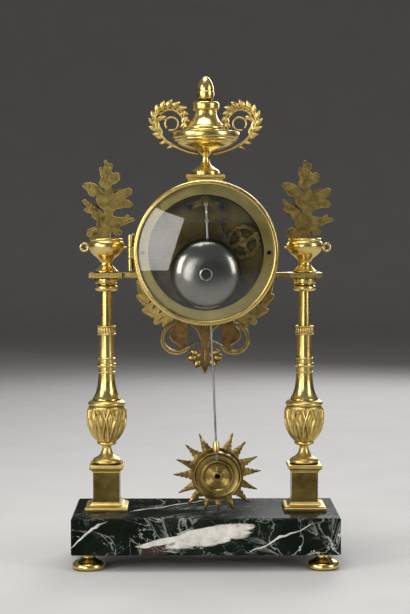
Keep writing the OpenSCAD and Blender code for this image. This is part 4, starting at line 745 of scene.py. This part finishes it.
# %% [markdown]
# ## Laurel branches and silk
# Two laurel branches spring from under the bowl and curl beside the lid, each round a small ring. A stem is a
# tube drawn along a path; a leaf is a row of lens-shaped sections with a rib on both faces, because the
# branches are cast in the round and seen from all sides. The left branch is the right one mirrored. The same
# tube makes the silk loop that carries the pendulum, with a small bead where its two threads meet.

# %% Laurel branches and silk
TOWARDS_BACK = Vector((0, 1, 0))
LEAF_ROWS = 8
LEAF_SECTION = ((1, 0), (0.5, 0.5), (0.12, 0.62), (0, 1), (-0.12, 0.62), (-0.5, 0.5), (-1, 0), (-0.5, -0.5),
                (-0.12, -0.62), (0, -1), (0.12, -0.62), (0.5, -0.5))


def upright(points, side=1, y=0.0):
    """(x, z) points set up in a plane at the depth y, mirrored for the side -1."""
    return [Vector((side * x, y, z)) for x, z in points]


def tube(bm, path, radius, sides=10, flat=1.0):
    """A stem along a list of points; radius may change along it, flat stretches it along Y."""
    rings = []
    for k, spot in enumerate(path):
        along = (path[min(k + 1, len(path) - 1)] - path[max(k - 1, 0)]).normalized()
        side = along.cross(TOWARDS_BACK).normalized()
        r = radius(k / (len(path) - 1)) if callable(radius) else radius
        deep = TOWARDS_BACK * r * flat
        rings.append([bm.verts.new(spot + side * r * c + deep * s) for c, s in circle(sides)])
    closed_skin(bm, rings)


def blade(bm, base, tip, width, thick, arch=0.0):
    """A pointed leaf with a rib on both faces; arch bows it towards +Y."""
    along = tip - base
    face = (TOWARDS_BACK - along * TOWARDS_BACK.dot(along) / along.length_squared).normalized()
    side = along.cross(face).normalized()
    rings = []
    for k in range(LEAF_ROWS + 1):
        t = k / LEAF_ROWS
        half = width / 2 * sin(pi * t**0.72) ** 0.85 + 0.08 * (1 - t) + 0.03
        rib = thick / 2 * (0.4 + 0.6 * sin(pi * min(1.0, 0.15 + t * 0.85)))
        spot = base + along * t + face * arch * sin(pi * t)
        rings.append([bm.verts.new(spot + side * half * a + face * rib * b) for a, b in LEAF_SECTION])
    closed_skin(bm, rings)


def polar(centre, r, a):
    """A place in the upright plane at the distance r from a centre, at an angle in degrees."""
    return Vector((centre[0] + r * cos(radians(a)), 0, centre[1] + r * sin(radians(a))))


LAUREL_RISE = [(6.2, -18.8), (12, -17.8), (18, -15.8), (24, -13.4), (29.5, -10.8), (34.0, -7.6), (37.6, -3.2)]
LAUREL_TAIL = [(33.4, 9.8), (36.6, 11.4), (40.0, 10.6), (42.4, 7.8)]
LOOSE_LEAVES = [(27.5, -12.0, 33.6, -14.6, 2.0), (33, -8.6, 39.4, -10.2, 2.6), (36, -5, 42.8, -4.0, 3.4),
                (40.8, 10.2, 33.4, 12.6, 3.8)]


def laurel_branch(bm):
    """The right branch: stem, small ring, tail and leaves in threes, from its foot to the end of the curl."""
    curl, eye, bow = (30.0, 8.4), (28.8, 6.4), 12.7
    stem = upright(flow(LAUREL_RISE)) + [polar(curl, bow, a) for a in range(-54, 213, 4)]
    tube(bm, stem, lambda t: 1.15 - 0.45 * t)
    tube(bm, [polar(eye, 5.6, a) for a in range(-40, 301, 6)], 0.75)
    tube(bm, upright(flow(LAUREL_TAIL)), lambda t: 0.5 + 0.9 * t)
    for i in range(12):
        a = -56 + i * 22
        size = 1.0 if i < 9 else 0.78
        foot, next_foot = polar(curl, bow, a), polar(curl, bow, a + 9)
        blade(bm, foot, foot + polar((0, 0), 8.0 * size, a + 54) + Vector((0, 0.8, 0)), 3.9 * size, 1.6, 0.5)
        blade(bm, foot, foot + polar((0, 0), 7.2 * size, a + 128) + Vector((0, -0.6, 0)), 3.4 * size, 1.5, -0.4)
        tip = polar(curl, bow + 0.5, a + 9) + polar((0, 0), 6.6 * size, a + 88)
        blade(bm, next_foot, tip, 2.8 * size, 2.0, 0.0)
    for x0, z0, x1, z1, width in LOOSE_LEAVES:
        blade(bm, Vector((x0, 0, z0)), Vector((x1, 0.3, z1)), width, 1.7, 0.3)
    bmesh.ops.translate(bm, vec=(0, 0, box_mm("urn_lid")[0].z), verts=bm.verts)


for node, side in (("laurel_handle_right", 1), ("laurel_handle_left", -1)):
    bm = bmesh.new()
    laurel_branch(bm)
    bmesh.ops.scale(bm, vec=(side, 1, 1), verts=bm.verts)
    piece("leafy_" + node, bm, matte_gilt, "case", [node], 60)

bm = bmesh.new()
loop_y = sum(v.y for v in box_mm("silk_loop")) / 2
lathe(bm, ring_profile(1.1, 0.22, 8), 24, ALONG_Y)
for s in (-1, 1):
    tube(bm, upright(((1.05, 0), (0.7, -4), (0.42, -9), (0.3, -15.4)), s), 0.2, 8)
lathe(bm, flow([(0, -1.0, 1), (0.7, -0.7), (0.95, 0), (0.7, 0.7), (0, 1.0, 1)]), 20, shift(0, 0, -9.6))
bmesh.ops.transform(bm, matrix=shift(0, loop_y, 0) @ hang, verts=bm.verts)
piece("silk_threads", bm, silk, "pendulum", ["silk_loop"])

# %% [markdown]
# ## Flower sprays
# A spray of flowers and leaves stands in each vase. The castings are modelled on the dial side only: the back,
# which the picture shows, is flat and left brown as it came from the sand, and only its filed edges are bright.
# So the spray is one plate with a ragged outline, drawn point by point, with a thin bright rim along it, low veins
# and buttons on the back, and ribbed leaves and round petals on the dial side.

# %% Flower sprays
def casting(bm, outline, low, high, bevel):
    """A flat plate from an outline of (x, z) points that runs left-handed round it, with its edges broken."""
    count = len(outline)
    rings = []
    for y, inset in ((low, bevel), (low + bevel, 0.0), (high - bevel, 0.0), (high, bevel)):
        ring = []
        for k, (x, z) in enumerate(outline):
            (ax, az), (bx, bz) = outline[k - 1], outline[(k + 1) % count]
            dx, dz = bx - ax, bz - az
            size = max((dx * dx + dz * dz) ** 0.5, 1e-6)
            ring.append(bm.verts.new((x - dz / size * inset, y, z + dx / size * inset)))
        rings.append(ring)
    closed_skin(bm, rings)


def bead(bm, x, y, z, r, deep, steps):
    """A button that bulges from the plane y by the length deep."""
    rings = [[bm.verts.new((x + r * cos(a) * c, y + deep * sin(a), z + r * cos(a) * s)) for c, s in circle(steps)]
             for a in (0, 0.35, 0.7, 1.05, 1.4)]
    closed_skin(bm, rings)


SPRAY_FRONT = -0.9
SPRAY_EDGE = [(2.4, 0.4), (7.0, -0.2), (12.6, 1.2), (16.2, 3.8), (15.2, 8.4), (11.0, 10.0), (7.4, 9.4),
              (7.9, 13.0), (7.1, 16.2), (11.0, 18.6), (12.2, 22.6), (16.4, 23.4), (18.8, 25.2), (16.6, 26.8),
              (13.4, 26.2), (18.2, 30.4), (20.0, 33.2), (17.8, 34.1), (15.6, 30.6), (11.6, 29.4), (8.6, 27.2),
              (6.2, 25.2), (4.0, 22.6), (2.7, 20.2), (1.1, 23.4), (2.4, 26.4), (5.6, 28.2), (7.4, 31.2),
              (8.4, 34.2), (7.4, 37.6), (10.2, 36.6), (13.8, 37.6), (15.6, 41.4), (19.8, 45.2), (18.4, 47.4),
              (14.2, 48.2), (9.4, 47.2), (6.2, 44.6), (4.0, 41.0), (2.4, 39.8), (0.2, 39.4), (0.8, 43.2),
              (4.0, 44.2), (5.6, 47.8), (4.0, 51.8), (1.6, 54.6), (5.6, 59.6), (4.8, 60.9), (2.0, 60.0),
              (0.8, 63.6), (1.6, 66.8), (-0.4, 67.2), (-1.4, 64.6), (-3.2, 64.2), (-5.6, 63.6), (-5.2, 60.8),
              (-4.0, 57.2), (-6.4, 55.6), (-9.4, 56.8), (-12.0, 54.2), (-11.4, 50.2), (-7.8, 47.4),
              (-4.8, 47.0), (-4.0, 43.8), (-4.8, 41.4), (-7.2, 38.4), (-11.0, 40.4), (-15.4, 42.0),
              (-19.6, 43.4), (-21.8, 42.0), (-21.2, 38.4), (-17.4, 36.0), (-15.4, 34.2), (-19.6, 32.8),
              (-22.4, 29.6), (-20.4, 27.4), (-15.0, 27.4), (-9.6, 26.2), (-6.4, 24.2), (-4.8, 21.8),
              (-6.4, 19.4), (-11.8, 18.6), (-15.4, 18.6), (-17.8, 21.0), (-19.6, 20.2), (-19.0, 18.4),
              (-23.8, 17.8), (-24.2, 16.2), (-19.6, 14.6), (-15.4, 12.6), (-11.8, 11.6), (-11.0, 8.4),
              (-13.6, 6.8), (-12.6, 4.4), (-8.0, 3.6), (-6.4, 6.0), (-4.8, 7.6), (-4.0, 5.2), (-3.0, -6.0),
              (3.0, -6.0), (1.6, 1.0)]
SPRAY_LEAVES = [(5, 38, 19, 46.6, 7), (-5, 37, -20.6, 42.4, 7), (-4, 30, -20.8, 29.6, 7), (5, 25, 18.8, 33, 5),
                (5, 20, 17.6, 25, 5), (-4, 15, -22.6, 17.2, 6), (4, 10, 15.4, 4.4, 7), (-3, 9, -12.6, 6, 5),
                (0, 48, 0.6, 66, 5), (0, 50, -5, 63, 4), (1, 50, 5, 60, 4)]
SPRAY_FLOWERS = [(0.4, 33, 6.6, 6), (-7.8, 52, 4.2, 5), (1.6, 48.4, 4.0, 5), (10.4, 5.4, 4.4, 6),
                 (-0.6, 15, 5.6, 5), (10.6, 22, 3.4, 5)]


def flower_spray(plate, bright):
    """A spray whose stalk starts at the origin: the brown plate, and the filed rim and veins that are bright."""
    casting(plate, SPRAY_EDGE, SPRAY_FRONT, 1.2, 0.3)
    rim = upright(SPRAY_EDGE, 1, 0.7)
    tube(bright, rim + rim[:1], 0.42, 6)
    for x0, z0, x1, z1, width in SPRAY_LEAVES:
        blade(plate, Vector((x0, SPRAY_FRONT, z0)), Vector((x1, SPRAY_FRONT, z1)), width, 1.8, -0.3)
        middle = [Vector((x0 + (x1 - x0) * t, 1.1, z0 + (z1 - z0) * t)) for t in (0.1, 0.4, 0.7, 0.9)]
        tube(plate, middle, lambda t: 0.7 - 0.4 * t, 8, 0.5)
        along = Vector((x1 - x0, 0, z1 - z0)).normalized()
        across = Vector((along.z, 0, -along.x))
        for t in (0.3, 0.5, 0.7):
            foot = Vector((x0 + (x1 - x0) * t, 1.15, z0 + (z1 - z0) * t))
            for way in (-1, 1):
                far = foot + (along + across * way * 0.8) * width * 0.34
                tube(bright, [foot, foot.lerp(far, 0.5), far], lambda u: 0.34 - 0.16 * u, 6)
    for k, (x, z, r, petals) in enumerate(SPRAY_FLOWERS):
        for i in range(petals):
            a = 2 * pi * (i + 0.5) / petals + 0.3 * k
            bead(plate, x + 0.58 * r * cos(a), -0.8, z + 0.58 * r * sin(a), 0.4 * r, -0.9, 12)
        bead(plate, x, SPRAY_FRONT, z, 0.3 * r, -1.1, 14)
        bead(plate, x, 1.1, z, 0.5 * r, 0.35, 14)


SPRAY_SINK = 1.0
spray_foot = box_mm("vase_left")[1].z - SPRAY_SINK
for node, side in (("flower_spray_left", -1), ("flower_spray_right", 1)):
    plate, bright = bmesh.new(), bmesh.new()
    flower_spray(plate, bright)
    for name, bm, finish in (("cast_", plate, brown_back), ("filed_edge_of_", bright, dull_gilt)):
        bmesh.ops.translate(bm, vec=(side * COLUMN_X, 0, spray_foot), verts=bm.verts)
        piece(name + node, bm, finish, "case", [node] if finish is brown_back else [], 25, matte_gilt)

# %% [markdown]
# ## Apron under the drum
# Below the drum hangs a flat casting: a pierced garland of leaves along the rim, two drop-shaped lobes that run
# into two scrolls, a stem with curved shoulders, and a palmette of round petals. Seen from behind, the flat faces
# of lobes, stem and palmette are reddish and dull, while the garland, the scrolls and all the rims are gilt, and
# the garland's outer edge is rubbed brightest. So there are three pieces with a finish each, and the faces on the
# dial side take one more, because there the whole casting is gilt.

# %% Apron under the drum
APRON_Y = sum(v.y for v in box_mm("apron")) / 2
RIM_R = 58.2  # where castings meet the drum's rim
SCROLL_X, SCROLL_Z, SCROLL_R = 25.0, -76.1, 12.4
PALMETTE_WIDTH = 0.94  # share of its outline's width
leaf_tips = [(59.6, -25.5), (59.2, -29.1), (58.0, -33.0), (57.0, -37.0), (60.0, -38.4), (59.0, -40.6),
             (56.5, -43.7), (54.0, -46.6), (52.0, -48.6), (55.0, -50.8), (53.8, -53.2), (50.5, -55.1),
             (47.0, -57.2), (43.8, -58.6), (45.2, -61.4), (43.8, -63.8), (41.3, -63.6), (38.9, -62.4),
             (37.4, -62.0), (37.8, -65.2), (35.6, -66.2), (33.6, -63.8), (31.0, -62.6), (29.0, -61.4)]
PIERCED = {-54: 67.4, -53: 67.6, -48: 68.2, -47: 67.6, -43: 67.0, -42: 66.6}  # angle of a hole: its outer end
inner_arc = [(PIERCED.get(a, RIM_R), radians(a)) for a in range(-66, -26)]
garland = leaf_tips + [(r * cos(a), r * sin(a)) for r, a in inner_arc]
RIM_LEAVES = [(55.0, -38.5, 59.4, -26.4, 4.2), (51.6, -45.6, 59.8, -38.4, 4.4), (43.4, -55.6, 54.8, -50.8, 5.0),
              (37.0, -58.4, 45.0, -62.2, 4.4), (30.6, -60.4, 37.6, -65.4, 3.8), (50.0, -40.6, 56.8, -33.6, 2.8),
              (46.8, -46.4, 54.2, -44.6, 2.6), (41.8, -50.8, 49.0, -53.0, 2.8), (33.6, -56.2, 40.6, -59.6, 2.8)]
drop = flow([(25.0, -59, 1), (24.6, -64.4), (29.2, -68.6), (31.0, -73.4), (28.7, -77.4), (24.6, -80.3),
             (22.2, -82.2), (22.8, -86.4, 1), (17.0, -85.6, 1), (15.8, -81.0), (15.0, -77.0), (14.5, -72.0),
             (15.8, -68.4), (13.4, -65.4), (13.6, -60.4, 1)], 4)
shoulder = flow([(25, -57, 1), (22.0, -60.4, 1), (14.0, -63.0), (9.0, -66.4), (5.4, -71.6), (3.6, -77.0),
                 (2.9, -82), (2.5, -86, 1)], 4)
palmette = flow([(2.6, -83, 1), (6.0, -86.2), (9.8, -85.9), (12.9, -87.6), (12.0, -90.2, 1), (15.0, -91.4),
                 (15.2, -94.2), (12.4, -95.8), (9.8, -95.6, 1), (10.2, -98.6), (8.2, -101.4), (5.2, -101.2),
                 (2.6, -98.4, 1), (1.9, -103.4), (0, -107.2, 1)], 4)
PETALS = [(11.4, -93.2, 4.0, 2.5, -8), (9.6, -88.4, 3.6, 2.2, 24), (5.4, -91.0, 2.6, 1.5, -50),
          (6.8, -98.2, 3.8, 2.4, -52)]
scroll = [(SCROLL_X + SCROLL_R * cos(radians(a)), SCROLL_Z + SCROLL_R * sin(radians(a)))
          for a in range(92, -136, -6)]
scroll_end = flow([(15.9, -84.4), (12.4, -82.0), (9.0, -80.0), (5.8, -79.0), (2.2, -79.0)])[2:]


def outside(points):
    """Points moved out of the drum's round, so that a casting ends on the rim."""
    pushed = [(x, z, max(1.0, RIM_R / (x * x + z * z) ** 0.5)) for x, z in points]
    return [(x * out, z * out) for x, z, out in pushed]


def both_sides(points):
    """An outline of the right half that runs down its edge, closed by its mirror image."""
    return [(-x, z) for x, z in points] + points[::-1]


def petal(bm, spot, size, turn, deep):
    """A long button on both faces of the casting: half length, half width, turn in degrees and bulge."""
    c, s = cos(radians(turn)), sin(radians(turn))
    rings = []
    for a in (-1.35, -0.9, -0.45, 0, 0.45, 0.9, 1.35):
        oval = [(size[0] * cos(a) * p, size[1] * cos(a) * q) for p, q in circle(20)]
        rings.append([bm.verts.new((spot[0] + u * c - v * s, deep * sin(a), spot[1] + u * s + v * c))
                      for u, v in oval])
    closed_skin(bm, rings)


plates, edges, rubbed = bmesh.new(), bmesh.new(), bmesh.new()
casting(plates, outside(both_sides(shoulder) + [(x, -57) for x in range(20, -21, -5)]), -1.2, 1.2, 0.3)
casting(plates, [(x * PALMETTE_WIDTH, z) for x, z in both_sides(palmette)], -1.05, 1.05, 0.35)
for s in (1, -1):
    for bm, outline, thick in ((plates, drop, 1.4), (edges, garland, 1.0)):
        casting(bm, outside(outline[::-1] if s > 0 else [(-x, z) for x, z in outline]), -thick, thick, 0.35)
    for line, r, flat in ((drop[1:32], 0.85, 2.2), (shoulder[4:-2], 0.7, 2.3), (palmette[8:], 0.45, 2.8)):
        tube(edges, upright(line, s), r, 8, flat)
    tube(rubbed, upright(leaf_tips, s), 0.5, 8, 2.6)
    for apart in (-0.75, 0.75):
        rail = [(x + apart * (x - SCROLL_X) / SCROLL_R, z + apart * (z - SCROLL_Z) / SCROLL_R) for x, z in scroll]
        tube(edges, upright(rail + scroll_end, s), lambda t: 0.75 + 0.5 * sin(pi * t) ** 0.6, 10, 1.5)
    for x0, z0, x1, z1, width in RIM_LEAVES:
        blade(edges, Vector((s * x0, 0, z0)), Vector((s * x1, 0, z1)), width, 3.6)
    for x, z, long, wide, turn in PETALS:
        petal(edges, (s * x, z), (long, wide), s * turn, 1.9)
blade(edges, Vector((0, 0, -80)), Vector((0, 0, -107)), 3.6, 3.8)
stem_rib = ((2.4, -62), (1.7, -67), (1.25, -73), (1.0, -79), (0.8, -85), (0.5, -92))
for x in (-1.2, 0, 1.2):
    tube(edges, upright(stem_rib, x), lambda t: 0.62 - 0.35 * t, 8, 2.6)
for name, bm, finish in (("apron_plates", plates, red_back), ("apron_rims", edges, dull_gilt),
                         ("garland_edge", rubbed, matte_gilt)):
    bmesh.ops.translate(bm, vec=(0, APRON_Y, DRUM_Z), verts=bm.verts)
    piece(name, bm, finish, "case", ["apron"], 40, matte_gilt)

# %% [markdown]
# ## Dial numbers
# The enamel dial faces the other way, so nothing of it shows in the picture; this one is a plain guess in the
# style of the time. Twelve roman hours and a track of sixty dots are fired on. They are thin raised strokes
# that follow the slight dome of the dial.

# %% Dial numbers
dial_low, dial_high = box_mm("dial")
DIAL_R = (dial_high.x - dial_low.x) / 2
dome = [(0.0, dial_low.y), (0.3, dial_low.y + 0.1), (0.66, dial_low.y + 0.5), (0.98, dial_low.y + 1.1)]


def dial_skin(r):
    """Depth of the domed dial at the distance r from its middle."""
    for (a, ya), (b, yb) in zip(dome, dome[1:]):
        if r / DIAL_R <= b:
            return ya + (yb - ya) * (r / DIAL_R - a) / (b - a)
    return dome[-1][1]


def stroke(bm, turn, start, end, width):
    """A flat stroke on the dial between two (x, r) points of an hour at the angle turn."""
    (x0, r0), (x1, r1) = start, end
    size = ((x1 - x0) ** 2 + (r1 - r0) ** 2) ** 0.5
    nx, nr = -(r1 - r0) / size * width / 2, (x1 - x0) / size * width / 2
    corners = ((x0 + nx, r0 + nr), (x1 + nx, r1 + nr), (x1 - nx, r1 - nr), (x0 - nx, r0 - nr))
    rings = [[bm.verts.new(turn @ Vector((x, dial_skin(r) + lift, r))) for x, r in corners]
             for lift in (0.12, -0.1)]
    closed_skin(bm, rings)


def numeral(bm, turn, marks, inner, outer):
    """Roman strokes set side by side across the hour, seen from the dial side."""
    widths = {"I": 1.7, "V": 3.2, "X": 3.2}
    x = -sum(widths[mark] for mark in marks) / 2
    for mark in marks:
        w = widths[mark]
        if mark == "I":
            stroke(bm, turn, (x + w / 2, inner), (x + w / 2, outer), 0.85)
        if mark == "V":
            stroke(bm, turn, (x + 0.4, outer), (x + w / 2, inner), 0.95)
            stroke(bm, turn, (x + w - 0.4, outer), (x + w / 2, inner), 0.5)
        if mark == "X":
            stroke(bm, turn, (x + 0.4, outer), (x + w - 0.4, inner), 0.95)
            stroke(bm, turn, (x + w - 0.4, outer), (x + 0.4, inner), 0.5)
        x += w


def on_dial(angle):
    return shift(0, 0, DRUM_Z) @ Matrix.Rotation(radians(angle), 4, "Y")


bm = bmesh.new()
for hour, marks in enumerate("I II III IIII V VI VII VIII IX X XI XII".split(), 1):
    numeral(bm, on_dial(30 * hour), marks, 0.70 * DIAL_R, 0.86 * DIAL_R)
for minute in range(60):
    half, high = (0.55, 1.1) if minute % 5 == 0 else (0.3, 0.6)
    stroke(bm, on_dial(6 * minute), (-half, 0.93 * DIAL_R), (half, 0.93 * DIAL_R), high)
piece("fired_numbers", bm, black_enamel, "case", [], 30)

# %% [markdown]
# ## Floor and light
# A pale paper sweep runs all round the clock, so that every view has the same plain ground. Further away its colour
# is painted darker, a painted falloff of the light, because a pale wall would lie as haze on the domed glass. Gilt
# shows what it mirrors: a lamp on the left of the picture draws the long highlights on the columns, a weaker one
# on the right opens the shadows, one overhead lights the marble and one lights the dial side. The bright patch on
# the glass is a weak softbox, with a narrowed beam so that it lights little of the paper.

# %% Sweep, lamps and world
PAINTED_FALLOFF_REACH = 3.2  # metres from the clock to where the paper is darkest
paper, tree, shader = new_finish("pale_paper")
reach = add(tree, "VectorMath", {0: spots(tree)}, operation="LENGTH")
share = add(tree, "Math", {0: reach.outputs["Value"], 1: PAINTED_FALLOFF_REACH}, operation="DIVIDE")
# Painted falloff: the paper's colour is painted darker with distance from the clock, standing in for light that falls
# off.
painted_falloff = ramp(tree, share.outputs[0], [(0.08, (0.62, 0.61, 0.595)), (0.40, (0.44, 0.43, 0.42)),
                                       (0.75, (0.20, 0.193, 0.187)), (1.0, (0.15, 0.145, 0.14))])
fibre = ramp(tree, noise(tree, spots(tree), 14.0), [(0.3, (0.95, 0.95, 0.95)), (0.7, (1.0, 1.0, 1.0))])
wire(tree, shader, {"Base Color": mixed(tree, 1.0, painted_falloff, fibre, "MULTIPLY"), "Roughness": 0.9})
bm = bmesh.new()
sweep = flow([(AXIS_R, 0, 1), (1200, 0), (2300, 0), (2700, 90), (2950, 400), (3000, 900, 1)], 8)
rings = [[bm.verts.new((r * c * MM, r * s * MM, z * MM)) for c, s in circle(96)] for r, z in sweep]
skin(bm, rings)
bm.faces.new(rings[0])
bmesh.ops.recalc_face_normals(bm, faces=bm.faces)
for face in bm.faces:
    face.smooth = True
ground_mesh = bpy.data.meshes.new("paper_sweep")
bm.to_mesh(ground_mesh)
bm.free()
ground_mesh.materials.append(paper)
sweep_object = bpy.data.objects.new("paper_sweep", ground_mesh)
scene.collection.objects.link(sweep_object)


def lamp(name, place, target, width, height, watts, tint=(1, 1, 1), roll=0, spread=180):
    """A rectangular lamp at a place, turned to a target; roll and spread in degrees."""
    light = bpy.data.lights.new(name, "AREA")
    light.shape = "RECTANGLE"
    light.size, light.size_y, light.energy, light.color = width, height, watts, tint
    light.spread = radians(spread)
    made = bpy.data.objects.new(name, light)
    made.location = place
    aim = (Vector(target) - Vector(place)).to_track_quat("-Z", "Y")
    made.rotation_euler = (aim.to_matrix().to_4x4() @ Matrix.Rotation(radians(roll), 4, "Z")).to_euler()
    scene.collection.objects.link(made)


lamp("left_softbox", (0.684, 1.657, 0.384), (0, 0, 0.2645), 0.60, 0.88, 2.1, (1.0, 0.98, 0.96), -17, 100)
lamp("left_side", (1.45, 1.05, 0.75), (0, 0, 0.22), 0.7, 1.0, 16, (1.0, 0.97, 0.93))
lamp("right_softbox", (-1.5, 0.9, 0.7), (0, 0, 0.22), 0.6, 0.9, 10, (1.0, 0.98, 0.95))
lamp("overhead", (0.15, 0.1, 1.7), (0, 0, 0.1), 1.0, 1.0, 16)
lamp("dial_side", (-0.5, -1.6, 0.9), (0, 0, 0.2), 0.9, 0.9, 14)
world = bpy.data.worlds.new("studio")
world.use_nodes = True
wire(world.node_tree, world.node_tree.nodes["Background"], {"Color": (0.95, 0.97, 1.0, 1), "Strength": 0.18})
scene.world = world
print("lamps:", len(bpy.data.lights))
